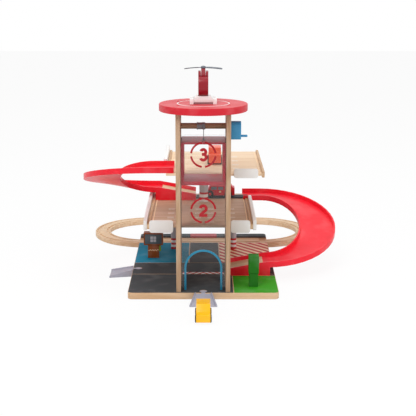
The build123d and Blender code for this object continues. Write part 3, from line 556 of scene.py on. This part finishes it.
# Painted and moulded finishes: colour, gloss, cloudiness and, where it differs, skin, clear coat and shine
COATS = {
    "ramp plastic": ("ramp", 0.36, 0.04, 0.06, 0.08),
    "pad paint": ("pad", 0.4, 0.05),
    "cabin plastic": ("cabin", 0.42, 0.05),
    "red paint": ("pad", 0.36, 0.05, 0.1, 0.2),
    "aircraft paint": ("aircraft", 0.36, 0.05, 0.1, 0.15),
    "print red": ("print_red", 0.45, 0.04),
    "asphalt paint": ("asphalt", 0.6, 0.05, 0.12, 0.0, 0.08),
    "grey paint": ("parking_grey", 0.6, 0.05, 0.12, 0.0, 0.08),
    "blue paint": ("pool_blue", 0.6, 0.05, 0.12, 0.0, 0.08),
    "lawn paint": ("lawn", 0.6, 0.05, 0.12, 0.0, 0.08),
    "tree paint": ("tree", 0.6, 0.06, 0.12, 0.0, 0.08),
    "cream paint": ("cream", 0.6, 0.04, 0.12, 0.0, 0.08),
    "white paint": ("white", 0.42, 0.03),
    "column paint": ("column", 0.4, 0.04),
    "arch plastic": ("arch", 0.35, 0.04, 0.08, 0.2),
    "crank plastic": ("crank", 0.35, 0.04, 0.08, 0.2),
    "entry plastic": ("entry", 0.42, 0.05),
    "spool plastic": ("spool", 0.45, 0.05),
    "rotor plastic": ("rotor", 0.38, 0.05),
    "pump paint": ("pump", 0.42, 0.08),
    "screen plastic": ("screen", 0.32, 0.05),
    "nozzle plastic": ("nozzle", 0.4, 0.05),
    "yellow paint": ("yellow", 0.36, 0.05, 0.1, 0.2),
    "orange paint": ("orange", 0.38, 0.05, 0.1, 0.2),
    "tyre plastic": ("tyre", 0.55, 0.08, 0.25),
    "window paint": ("window", 0.25, 0.05, 0.05, 0.3),
}
# Lacquered woods: colour, grain axis, share of light left in the dark grain and the pattern's shift
WOODS = {
    "tower wood": ("post", "Z", 0.78),
    # deck wood is the painted-shade copy for the middle deck under the upper one; upper deck wood is the
    # painted-light copy for the lit upper deck
    "deck wood": ("deck", "X", 0.8),
    "upper deck wood": ("upper_deck", "X", 0.82, 0.4),
    "rail wood": ("rail", "Y", 0.8),
    "axle wood": ("post", "X", 0.72, 0.9),
    "board wood": ("rail", "X", 0.8, 0.2),
    "track wood": ("track", "X", 0.84, 0.6),
    "inlay wood": ("track", "X", 0.82, 1.1),
}
# Finishes with a pattern of their own
PATTERNS = {
    "clear sheet": lambda: clear_finish("clear_sheet"),
    "hatching": lambda: striped_finish(
        "hatching", colours().cream, colours().stripe_red, sizes().stripe_pitch, math.radians(-40)
    ),
    "stop stripes": lambda: striped_finish(
        "stop_stripes", colours().white, colours().stripe_red, 11 * MM, math.radians(45), True
    ),
    "lower bands": lambda: banded_finish("lower_bands", BOARD_TOP + 28.6 * MM, 11.4 * MM, 0.47),
    "upper bands": lambda: banded_finish("upper_bands", DECK_TWO_TOP + 25 * MM, 12.6 * MM, 0.42),
}
MATERIALS = {}


def material(finish):
    """The material of a named finish, made when it is first asked for."""
    if finish not in MATERIALS:
        name = finish.replace(" ", "_")
        if finish in COATS:
            colour, *values = COATS[finish]
            MATERIALS[finish] = coat_finish(name, getattr(colours(), colour), *values)
        elif finish in WOODS:
            colour, *values = WOODS[finish]
            MATERIALS[finish] = wood_finish(name, getattr(colours(), colour), *values)
        else:
            MATERIALS[finish] = PATTERNS[finish]()
    return MATERIALS[finish]


# Modelling helpers
def clear_selection():
    if bpy.context.mode != "OBJECT":
        bpy.ops.object.mode_set(mode="OBJECT")
    bpy.ops.object.select_all(action="DESELECT")


def hold(piece):
    """Makes one object the only selected and active one."""
    clear_selection()
    piece.select_set(True)
    bpy.context.view_layer.objects.active = piece


def apply_place(piece):
    hold(piece)
    bpy.ops.object.transform_apply(location=True, rotation=True, scale=True)


def soften(piece, width, segments=2):
    """Rounds the sharp edges of a piece and shades it smooth between them."""
    hold(piece)
    if width > 0:
        bevel = piece.modifiers.new("Soft edges", "BEVEL")
        bevel.width = width
        bevel.segments = segments
        bevel.limit_method = "ANGLE"
        bevel.angle_limit = math.radians(BEVEL_ANGLE)
        bevel.use_clamp_overlap = True
        bpy.ops.object.modifier_apply(modifier=bevel.name)
    bpy.ops.object.shade_smooth_by_angle(angle=math.radians(SMOOTH_ANGLE))


def edited(piece, *steps):
    """Runs edit-mode steps on a piece, each with everything selected."""
    hold(piece)
    bpy.ops.object.mode_set(mode="EDIT")
    for step in steps:
        bpy.ops.mesh.select_all(action="SELECT")
        step()
    bpy.ops.object.mode_set(mode="OBJECT")


def outward(piece):
    """Welds a piece's doubled corners and turns its faces outward."""
    edited(
        piece,
        lambda: bpy.ops.mesh.remove_doubles(threshold=0.00001),
        lambda: bpy.ops.mesh.normals_make_consistent(inside=False),
    )


def sliced(piece, start, end, steps):
    """Cuts a piece into even slices from start to end, so that it can bend or stretch."""
    start, end = Vector(start), Vector(end)
    normal = (end - start).normalized()
    for step in range(1, steps):
        place = start.lerp(end, step / steps)
        edited(piece, lambda: bpy.ops.mesh.bisect(plane_co=place, plane_no=normal))


def dress(piece, finish):
    """Gives a piece, or a CAD node whose shape is kept, its finish."""
    piece.data.materials.clear()
    piece.data.materials.append(material(finish))


def settle(piece, name, finish, body=BODY):
    """Names a finished piece, gives it its finish and lets it ride on its body."""
    apply_place(piece)
    piece.name = piece.data.name = name
    dress(piece, finish)
    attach(piece, body)
    return piece


def block(low, high):
    """A box between two corners, from the cube primitive."""
    clear_selection()
    low, high = Vector(low), Vector(high)
    bpy.ops.mesh.primitive_cube_add(size=1.0, location=(low + high) / 2)
    piece = bpy.context.active_object
    piece.scale = high - low
    apply_place(piece)
    return piece


def round_bar(centre, radius, length, axis, sides=32):
    """A cylinder of the given length about an axis, from the cylinder primitive."""
    clear_selection()
    turn = {"X": (0, math.pi / 2, 0), "Y": (math.pi / 2, 0, 0), "Z": (0, 0, 0)}[axis]
    bpy.ops.mesh.primitive_cylinder_add(
        vertices=sides, radius=radius, depth=length, location=centre, rotation=turn
    )
    piece = bpy.context.active_object
    apply_place(piece)
    return piece


def join(pieces):
    clear_selection()
    for piece in pieces:
        piece.select_set(True)
    bpy.context.view_layer.objects.active = pieces[0]
    if len(pieces) > 1:
        bpy.ops.object.join()
    return bpy.context.active_object


def round_corners(piece, radius, corners, segments=6):
    """Rounds the upright edges whose (side of X, side of Y) is listed in corners."""
    hold(piece)
    places = [vertex.co for vertex in piece.data.vertices]
    middle = [(min(p[i] for p in places) + max(p[i] for p in places)) / 2 for i in range(2)]
    bpy.ops.object.mode_set(mode="EDIT")
    bpy.ops.mesh.select_all(action="DESELECT")
    bpy.ops.object.mode_set(mode="OBJECT")
    bpy.context.tool_settings.mesh_select_mode = (False, True, False)
    for edge in piece.data.edges:
        first, second = (piece.data.vertices[i].co for i in edge.vertices)
        upright = abs(first.z - second.z) > 1e-7 and (first.xy - second.xy).length < 1e-7
        side = (1 if first.x > middle[0] else -1, 1 if first.y > middle[1] else -1)
        edge.select = upright and side in corners
    bpy.ops.object.mode_set(mode="EDIT")
    bpy.ops.mesh.bevel(offset=radius, segments=segments, affect="EDGES")
    bpy.ops.object.mode_set(mode="OBJECT")
    return piece


def sanded_copy(node, finish, width, segments=2):
    """A CAD node's own shape with its sharp edges rounded, shown in the node's place."""
    source = frame["nodes"][node]
    piece = bpy.data.objects.new(node + "_sanded", source.data.copy())
    bpy.context.scene.collection.objects.link(piece)
    outward(piece)
    edited(piece, lambda: bpy.ops.mesh.dissolve_limited(angle_limit=math.radians(1.0)))
    soften(piece, width * MM, segments)
    body = source["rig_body"]
    settle(piece, node + "_sanded", finish, body)
    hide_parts(node)
    return piece


def sanded(group):
    for names, *values in SANDED[group]:
        for name in names.split():
            sanded_copy(name, *values)


class GARAGE_OT_wooden_structure(bpy.types.Operator):
    """Sanded and lacquered boards, decks, rails and walls"""

    bl_idname = "garage.wooden_structure"
    bl_label = "Wooden Structure"

    def execute(self, context):
        sanded("structure")
        dress(frame["nodes"]["helipad_disc"], "pad paint")
        return {"FINISHED"}


class GARAGE_OT_railway(bpy.types.Operator):
    """Beech railway with softened edges"""

    bl_idname = "garage.railway"
    bl_label = "Railway"

    def execute(self, context):
        for name in frame["nodes"]:
            if name.startswith("track_"):
                sanded_copy(name, "track wood", 0.5)
        return {"FINISHED"}


class GARAGE_OT_columns(bpy.types.Operator):
    """Painted columns with warning bands"""

    bl_idname = "garage.columns"
    bl_label = "Columns"

    def execute(self, context):
        dress(frame["nodes"]["column_left"], "lower bands")
        dress(frame["nodes"]["column_right"], "lower bands")
        dress(frame["nodes"]["column_upper"], "upper bands")
        return {"FINISHED"}


class GARAGE_OT_stage(bpy.types.Operator):
    """Pale floor, soft studio light and the camera"""

    bl_idname = "garage.stage"
    bl_label = "Stage"

    def execute(self, context):
        scene = context.scene
        scene.view_settings.view_transform = "Standard"
        clear_selection()
        bpy.ops.mesh.primitive_plane_add(size=FLOOR_SIZE, location=FLOOR_PLACE)
        floor = bpy.context.active_object
        floor.name = "floor"
        floor.data.materials.append(stage_floor_material())
        world = bpy.data.worlds.new("studio")
        scene.world = world
        world.use_nodes = True
        light_world(world.node_tree)
        for name, place, aim, size, power in LAMPS:
            bpy.ops.object.light_add(type="AREA", location=place)
            lamp = bpy.context.active_object
            lamp.name = name
            lamp.data.size = size
            lamp.data.energy = power
            direction = Vector(aim) - Vector(place)
            lamp.rotation_euler = direction.to_track_quat("-Z", "Y").to_euler()
        bpy.ops.object.camera_add(
            location=(0.0, CAMERA_FRONT, CAMERA_HEIGHT), rotation=(math.pi / 2 - CAMERA_TILT, 0.0, 0.0)
        )
        camera = bpy.context.active_object
        camera.data.sensor_width = 36.0
        camera.data.lens = CAMERA_LENS
        camera.data.shift_x = CAMERA_SHIFT
        scene.camera = camera
        return {"FINISHED"}


def seen_directly(tree):
    """1 where the camera, a reflection or clear plastic sees a surface, 0 for other light."""
    path = tree.nodes.new("ShaderNodeLightPath")
    direct = maths(tree, "MAXIMUM", path.outputs["Is Camera Ray"], path.outputs["Is Glossy Ray"])
    return maths(tree, "MAXIMUM", direct, path.outputs["Is Transmission Ray"])


def light_world(tree):
    """A soft grey sky that shows as plain white."""
    strength = ranged(tree, seen_directly(tree), 0.0, 1.0, SKY_STRENGTH, 1.0)
    feed(tree, tree.nodes["Background"], {"Color": (1.0, 1.0, 1.0), "Strength": strength})


def stage_floor_material():
    """A pale matt floor that keeps the object's shadow on a white ground."""
    finish = Finish("studio_floor")
    tree = finish.tree
    finish.shade(Base_Color=(FLOOR_TONE, FLOOR_TONE, FLOOR_TONE), Roughness=0.9)
    glow = tree.nodes.new("ShaderNodeEmission")
    feed(tree, glow, {"Strength": 1.0})
    blend = tree.nodes.new("ShaderNodeMixShader")
    share = maths(tree, "MULTIPLY", seen_directly(tree), FLOOR_GLOW)
    feed(tree, blend, {0: share, 1: finish.shader.outputs[0], 2: glow.outputs[0]})
    feed(tree, tree.nodes["Material Output"], {"Surface": blend.outputs[0]})
    return finish.material


def slab(x_span, y_span, ground, thick):
    """A flat block on a face, in millimetres across and behind the board's front edge."""
    low, high = ((x * MM, FRONT + y * MM) for x, y in zip(x_span, y_span))
    return block((*low, ground), (*high, ground + thick))


def cut_away(piece, cutter):
    """Removes the cutter's volume from a piece, and the cutter itself."""
    hold(piece)
    modifier = piece.modifiers.new("Cut", "BOOLEAN")
    modifier.operation = "DIFFERENCE"
    modifier.solver = "EXACT"
    modifier.object = cutter
    bpy.ops.object.modifier_apply(modifier=modifier.name)
    bpy.data.objects.remove(cutter)
    return piece


def arc_bar(centre, radius, width, thick, start, sweep, axis, steps):
    """A flat ring segment about X, Y or Z: a small face swept by spin. Angles are in degrees."""
    clear_selection()
    across, out = {"X": ("Y", "Z"), "Y": ("X", "Z"), "Z": ("X", "Y")}[axis]
    spoke = Vector((0, 0, 0))
    spoke["XYZ".index(across)] = math.cos(math.radians(start))
    spoke["XYZ".index(out)] = math.sin(math.radians(start))
    normal = Vector([1.0 if letter == axis else 0.0 for letter in "XYZ"])
    bpy.ops.mesh.primitive_plane_add(size=1.0, location=(0, 0, 0))
    piece = bpy.context.active_object
    middle = Vector(centre) + spoke * radius
    for vertex in piece.data.vertices:
        vertex.co = middle + spoke * (vertex.co.x * width) + normal * (vertex.co.y * thick)
    pivot = normal if axis == "Y" else -normal
    edited(piece, lambda: bpy.ops.mesh.spin(
        steps=steps, angle=math.radians(sweep), center=centre, axis=pivot, dupli=False
    ))
    outward(piece)
    return piece


def field(name, finish, slot_name, x_span, y_span, ground, corners=(), cutters=()):
    """A printed field: a slab with some corners rounded and some places left free."""
    panel = slab(x_span, y_span, ground, sizes().paint_thick)
    if corners:
        round_corners(panel, FIELD_CORNER, corners)
    for cutter in cutters:
        cut_away(panel, cutter)
    soften(panel, 0.0)
    return settle(panel, name, finish)


def keyhole(x, from_front, heading):
    """Cutters over an entry ramp's peg: its round head and its neck, towards heading (x, y)."""
    head = Vector((x * MM, FRONT + from_front * MM, BOARD_TOP))
    way = Vector((*heading, 0))
    along, across = (Vector((abs(value[0]), abs(value[1]), 0)) for value in (way, (way.y, way.x)))
    neck = head + way * PEG_INSET * MM / 2
    half = (along * (PEG_INSET + 2) + across * PEG_NECK + Vector((0, 0, PEG_CUT_DEPTH))) * MM / 2
    return round_bar(head, PEG_HEAD * MM, PEG_CUT_DEPTH * MM, "Z", 48), block(neck - half, neck + half)


def stroke_bar(centre, first, second, width, thick):
    """A straight flat stroke between two (x, z) points in millimetres, facing Y."""
    first, second = Vector((first[0], 0, first[1])), Vector((second[0], 0, second[1]))
    along = second - first
    half = Vector((along.length * MM, thick, width)) / 2
    piece = block(-half, half)
    piece.rotation_euler = (0.0, -math.atan2(along.z, along.x), 0.0)
    piece.location = Vector(centre) + (first + second) / 2 * MM
    apply_place(piece)
    return piece


def numeral(bows, bars, name, centre):
    """A printed number in its dashed ring, from bows (z, radius, start, sweep) and bars."""
    width = sizes().digit_stroke
    strokes = []
    for z, radius, start, sweep in bows:
        thick = PRINT_DEPTH + len(strokes) * STROKE_STEP
        middle = Vector(centre) + Vector((0, 0, z * MM))
        strokes.append(arc_bar(middle, radius * MM, width, thick, start, sweep, "Y", 32))
    for first, second in bars:
        thick = PRINT_DEPTH + len(strokes) * STROKE_STEP
        strokes.append(stroke_bar(centre, first, second, width, thick))
    settle(join(strokes), name + "_digit", "print red")
    arcs = [
        arc_bar(
            centre, sizes().ring_radius, sizes().ring_line, PRINT_DEPTH,
            quarter * 90 + RING_GAP / 2, 90 - RING_GAP, "Y", 18,
        )
        for quarter in range(4)
    ]
    settle(join(arcs), name + "_ring", "print red")


class GARAGE_OT_painted_fields(bpy.types.Operator):
    """Painted road, parking, filling station and grass fields on the board"""

    bl_idname = "garage.painted_fields"
    bl_label = "Painted Fields"

    def execute(self, context):
        for name, finish, slot_name, across, back, corners, peg in FIELDS:
            cutters = keyhole(*peg) if peg else ()
            field("field_" + name, finish, slot_name, across, back, BOARD_TOP, corners, cutters)
        low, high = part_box("station_platform")
        back = ((low.y - FRONT) / MM + STATION_TOP_INSET, (high.y - FRONT) / MM - STATION_TOP_INSET)
        field("station_mark", "print red", "red_paint", STATION_MARK, back, high.z)
        front = block(
            (STATION_MARK[0] * MM, low.y - PRINT_DEPTH, low.z + STATION_FRONT_INSET),
            (STATION_MARK[1] * MM, low.y, high.z - STATION_FRONT_INSET),
        )
        settle(front, "station_mark_front", "print red")
        field("stop_line", "stop stripes", "red_paint", *STOP_LINE, BOARD_TOP + sizes().paint_thick)
        return {"FINISHED"}


class GARAGE_OT_front_sheet(bpy.types.Operator):
    """Clear front sheet, doorway arch and the printed level numbers"""

    bl_idname = "garage.front_sheet"
    bl_label = "Front Sheet"

    def execute(self, context):
        dress(frame["nodes"]["front_sheet"], "clear sheet")
        sanded_copy("door_arch", "arch plastic", 0.8, 3)
        print_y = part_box("front_sheet")[0].y - PRINT_DEPTH / 2
        numeral(THREE_BOWS, THREE_BARS, "level_three", (0.0, print_y, LEVEL_THREE_PRINT))
        numeral(TWO_BOWS, TWO_BARS, "level_two", (0.0, print_y, LEVEL_TWO_PRINT))
        return {"FINISHED"}


class GARAGE_OT_deck_marks(bpy.types.Operator):
    """Pale edge lines and parking marks printed on the decks"""

    bl_idname = "garage.deck_marks"
    bl_label = "Deck Marks"

    def execute(self, context):
        for name, x, start, end, ground in DECK_LINES:
            across = (x - DECK_LINE_HALF, x + DECK_LINE_HALF)
            field(name, "cream paint", "white_paint", across, (start, end), ground)
        for name, columns, rows, ground in PARKING_MARKS:
            strokes = []
            for column, row, offset in itertools.product(columns, rows, MARK_PAIR):
                back = (row + offset, row + offset + MARK_WIDTH)
                strokes.append(slab((column, column + MARK_LENGTH), back, ground, PRINT_DEPTH))
            settle(join(strokes), name, "white paint")
        return {"FINISHED"}


class GARAGE_OT_ramps(bpy.types.Operator):
    """Moulded spiral ramps with rounded lips, their wooden inlays and the hooked entry ramps"""

    bl_idname = "garage.ramps"
    bl_label = "Ramps"

    def execute(self, context):
        sanded("ramps")
        return {"FINISHED"}


class GARAGE_OT_winch(bpy.types.Operator):
    """Crank, axle, spool and the wound and hanging cord"""

    bl_idname = "garage.winch"
    bl_label = "Winch"

    def execute(self, context):
        sanded("winch")
        dress(frame["nodes"]["winch_axle"], "axle wood")
        low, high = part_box("lift_cord")
        x, y = (low.x + high.x) / 2, (low.y + high.y) / 2
        radius = sizes().cord / 2
        cord = round_bar((x, y, (low.z + high.z) / 2), radius, high.z - low.z, "Z", 12)
        sliced(cord, (x, y, low.z), (x, y, high.z), CORD_STEPS)
        soften(cord, 0.0)
        cord.name = cord.data.name = "hoist_cord"
        dress(cord, "spool plastic")
        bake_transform(cord)
        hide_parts("lift_cord")
        axle_low, axle_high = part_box("winch_axle")
        axle_y, axle_z = (axle_low.y + axle_high.y) / 2, (axle_low.z + axle_high.z) / 2
        wound_radius = (axle_high.z - axle_low.z) / 2 + radius
        turns = [
            arc_bar((x + turn * 2 * radius, axle_y, axle_z), wound_radius, 2 * radius, 2 * radius,
                    0, 360, "X", 40)
            for turn in range(WOUND_TURNS)
        ]
        winding = join(turns)
        outward(winding)
        soften(winding, WINDING_SOFT, 2)
        settle(winding, "cord_winding", "spool plastic", "crank")
        return {"FINISHED"}


class GARAGE_OT_lift(bpy.types.Operator):
    """Lift cabin and its hook"""

    bl_idname = "garage.lift"
    bl_label = "Lift"

    def execute(self, context):
        sanded("lift")
        return {"FINISHED"}


class GARAGE_OT_helipad(bpy.types.Operator):
    """Helipad with its printed ring and the screws into the tower boards"""

    bl_idname = "garage.helipad"
    bl_label = "Helipad"

    def execute(self, context):
        low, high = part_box("helipad_disc")
        centre = Vector(((low.x + high.x) / 2, (low.y + high.y) / 2, high.z + PRINT_DEPTH / 2))
        ring = arc_bar(centre, sizes().pad_ring, PAD_RING_WIDTH, PRINT_DEPTH, 0, 360, "Z", 96)
        settle(ring, "helipad_ring", "white paint")
        for index, (x, y) in enumerate(SCREW_PLACES):
            screw(f"helipad_screw_{index}", centre + Vector((x * MM, y * MM, 0)))
        return {"FINISHED"}


def screw(name, place):
    """A low flat screw head with softened edges and a crossed recess, centred on place and facing up."""
    head = round_bar(place, sizes().screw_head / 2, SCREW_THICK * MM, "Z", 32)
    long_side, short_side, depth = SCREW_SLOT
    for half in (Vector((long_side, short_side, depth)), Vector((short_side, long_side, depth))):
        half *= MM / 2
        cut_away(head, block(place - half, place + half))
    soften(head, 0.15 * MM, 2)
    settle(head, name, "red paint")


class GARAGE_OT_helicopter(bpy.types.Operator):
    """Loose helicopter: white landing frame, red body and a drooping rotor"""

    bl_idname = "garage.helicopter"
    bl_label = "Helicopter"

    def execute(self, context):
        sanded("helicopter")
        low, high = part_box("heli_rotor")
        x, y = (low.x + high.x) / 2, (low.y + high.y) / 2
        half = (high.x - low.x) / 2
        blade_z = high.z - ROTOR_HUB_RISE
        middle, reach = Vector((x, y, blade_z)), Vector((half, BLADE_HALF_WIDTH, BLADE_HALF_THICK))
        blade = block(middle - reach, middle + reach)
        round_corners(blade, BLADE_CORNER, ((-1, -1), (-1, 1), (1, -1), (1, 1)), 8)
        sliced(blade, (x - half, y, blade_z), (x + half, y, blade_z), ROTOR_STEPS)
        for vertex in blade.data.vertices:
            out = (vertex.co.x - x) / half
            vertex.co.z -= ROTOR_DROOP * out * out
            pitch = ROTOR_TWIST * (1 if out > 0 else -1) * min(1.0, abs(out) * 3)
            vertex.co.z += (vertex.co.y - y) * pitch
        soften(blade, 0.4 * MM, 2)
        clear_selection()
        bpy.ops.mesh.primitive_uv_sphere_add(
            segments=40, ring_count=20, radius=HUB_RADIUS, location=middle, scale=(1, 1, 0.6)
        )
        hub = bpy.context.active_object
        apply_place(hub)
        hold(hub)
        bpy.ops.object.shade_smooth()
        pin = round_bar((x, y, (blade_z + low.z) / 2), PIN_RADIUS, blade_z - low.z, "Z", 24)
        soften(pin, 0.0)
        rotor = join([blade, hub, pin])
        settle(rotor, "rotor_blades", "rotor plastic", "rotor")
        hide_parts("heli_rotor")
        return {"FINISHED"}


class GARAGE_OT_pump(bpy.types.Operator):
    """Filling pump with its framed display, nozzle and painted hose"""

    bl_idname = "garage.pump"
    bl_label = "Filling Pump"

    def execute(self, context):
        sanded("pump")
        low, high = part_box("pump_screen")
        centre = (low + high) / 2
        half = Vector(DISPLAY_HALF) * MM
        squares = []
        for column, row in itertools.product((-1, 1), repeat=2):
            offset = Vector((column, 0, row)) * DISPLAY_PITCH * MM
            middle = Vector((centre.x, low.y, centre.z)) + offset
            squares.append(block(middle - half, middle + half))
        settle(join(squares), "pump_display", "column paint")
        body_low, body_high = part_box("pump_body")
        corner = Vector((body_high.x, centre.y, body_high.z))
        piece = join([block(*(corner + Vector(end) * MM for end in ends)) for ends in NOZZLE_BLOCKS])
        soften(piece, 0.8 * MM, 3)
        settle(piece, "pump_nozzle", "nozzle plastic")
        beads = []
        start = body_low.x + HOSE_INSET * MM
        pitch = (body_high.x - HOSE_INSET * MM - start) / HOSE_WAVES
        front, level = body_low.y - PRINT_DEPTH / 2, body_high.z - HOSE_DROP * MM
        for wave in range(HOSE_WAVES):
            middle = (start + pitch * (wave + 0.5), front, level)
            turn = 0 if wave % 2 else 180
            beads.append(arc_bar(middle, pitch / 2, HOSE_WIDTH * MM, PRINT_DEPTH, turn, 180, "Y", 10))
        settle(join(beads), "pump_hose_print", "cream paint")
        return {"FINISHED"}


class GARAGE_OT_cars(bpy.types.Operator):
    """Yellow car, orange car and fire truck with turning wheels"""

    bl_idname = "garage.cars"
    bl_label = "Cars"

    def execute(self, context):
        for name, finish in VEHICLES:
            sanded_copy(f"{name}_body", finish, 0.9, 3)
            for end in ("front", "rear"):
                node = f"{name}_{end}_wheels"
                dress(frame["nodes"][node], "tyre plastic")
                wheel_caps(node, finish)
        low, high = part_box("fire_truck_body")
        for side, y in (("front", low.y), ("back", high.y)):
            corner = Vector((low.x, y, high.z))
            windows = []
            for start, end in TRUCK_WINDOWS:
                sill, lintel = WINDOW_HEIGHTS
                first = corner + Vector((start, -WINDOW_PROUD, sill)) * MM
                windows.append(block(first, corner + Vector((end, WINDOW_PROUD, lintel)) * MM))
            settle(join(windows), f"truck_window_{side}", "window paint", "fire_truck")
            place = corner + Vector((BADGE_PLACE[0], 0, BADGE_PLACE[1])) * MM
            badge = round_bar(place, BADGE_RADIUS * MM, CAP_THICK * MM, "Y", 32)
            soften(badge, 0.0)
            settle(badge, f"truck_badge_{side}", "cream paint", "fire_truck")
        return {"FINISHED"}


def wheel_caps(node, finish):
    """Round hub caps on both ends of a wheelset, in its car's colour."""
    low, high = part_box(node)
    centre = (low + high) / 2
    axis = "X" if high.x - low.x > high.y - low.y else "Y"
    reach = "XYZ".index(axis)
    body = frame["nodes"][node]["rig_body"]
    caps = []
    for end in (low, high):
        place = centre.copy()
        place[reach] = end[reach]
        caps.append(round_bar(place, CAP_RADIUS * MM, CAP_THICK * MM, axis, 32))
    piece = join(caps)
    soften(piece, 0.2 * MM, 2)
    settle(piece, node + "_caps", finish, body)


class GARAGE_PT_sidebar(bpy.types.Panel):
    """Lists the garage's operators and its colours and sizes"""

    bl_label = "Toy Parking Garage"
    bl_idname = "GARAGE_PT_sidebar"
    bl_space_type = "VIEW_3D"
    bl_region_type = "UI"
    bl_category = "Garage"

    def draw(self, context):
        layout = self.layout
        for operator in OPERATORS:
            layout.operator(operator.bl_idname)
        for settings in (context.scene.garage_colours, context.scene.garage_sizes):
            column = layout.column(align=True)
            for field_name in settings.__annotations__:
                column.prop(settings, field_name)


OPERATORS = (
    GARAGE_OT_stage,
    GARAGE_OT_wooden_structure,
    GARAGE_OT_painted_fields,
    GARAGE_OT_railway,
    GARAGE_OT_columns,
    GARAGE_OT_front_sheet,
    GARAGE_OT_deck_marks,
    GARAGE_OT_ramps,
    GARAGE_OT_winch,
    GARAGE_OT_lift,
    GARAGE_OT_helipad,
    GARAGE_OT_helicopter,
    GARAGE_OT_pump,
    GARAGE_OT_cars,
)
CLASSES = (GarageColours, GarageSizes, *OPERATORS, GARAGE_PT_sidebar)


def register():
    for each in CLASSES:
        bpy.utils.register_class(each)
    bpy.types.Scene.garage_colours = bpy.props.PointerProperty(type=GarageColours)
    bpy.types.Scene.garage_sizes = bpy.props.PointerProperty(type=GarageSizes)


def unregister():
    del bpy.types.Scene.garage_sizes
    del bpy.types.Scene.garage_colours
    for each in reversed(CLASSES):
        bpy.utils.unregister_class(each)


def main():
    register()
    for operator in OPERATORS:
        group, name = operator.bl_idname.split(".")
        getattr(getattr(bpy.ops, group), name)()


if __name__ == "__main__":
    main()
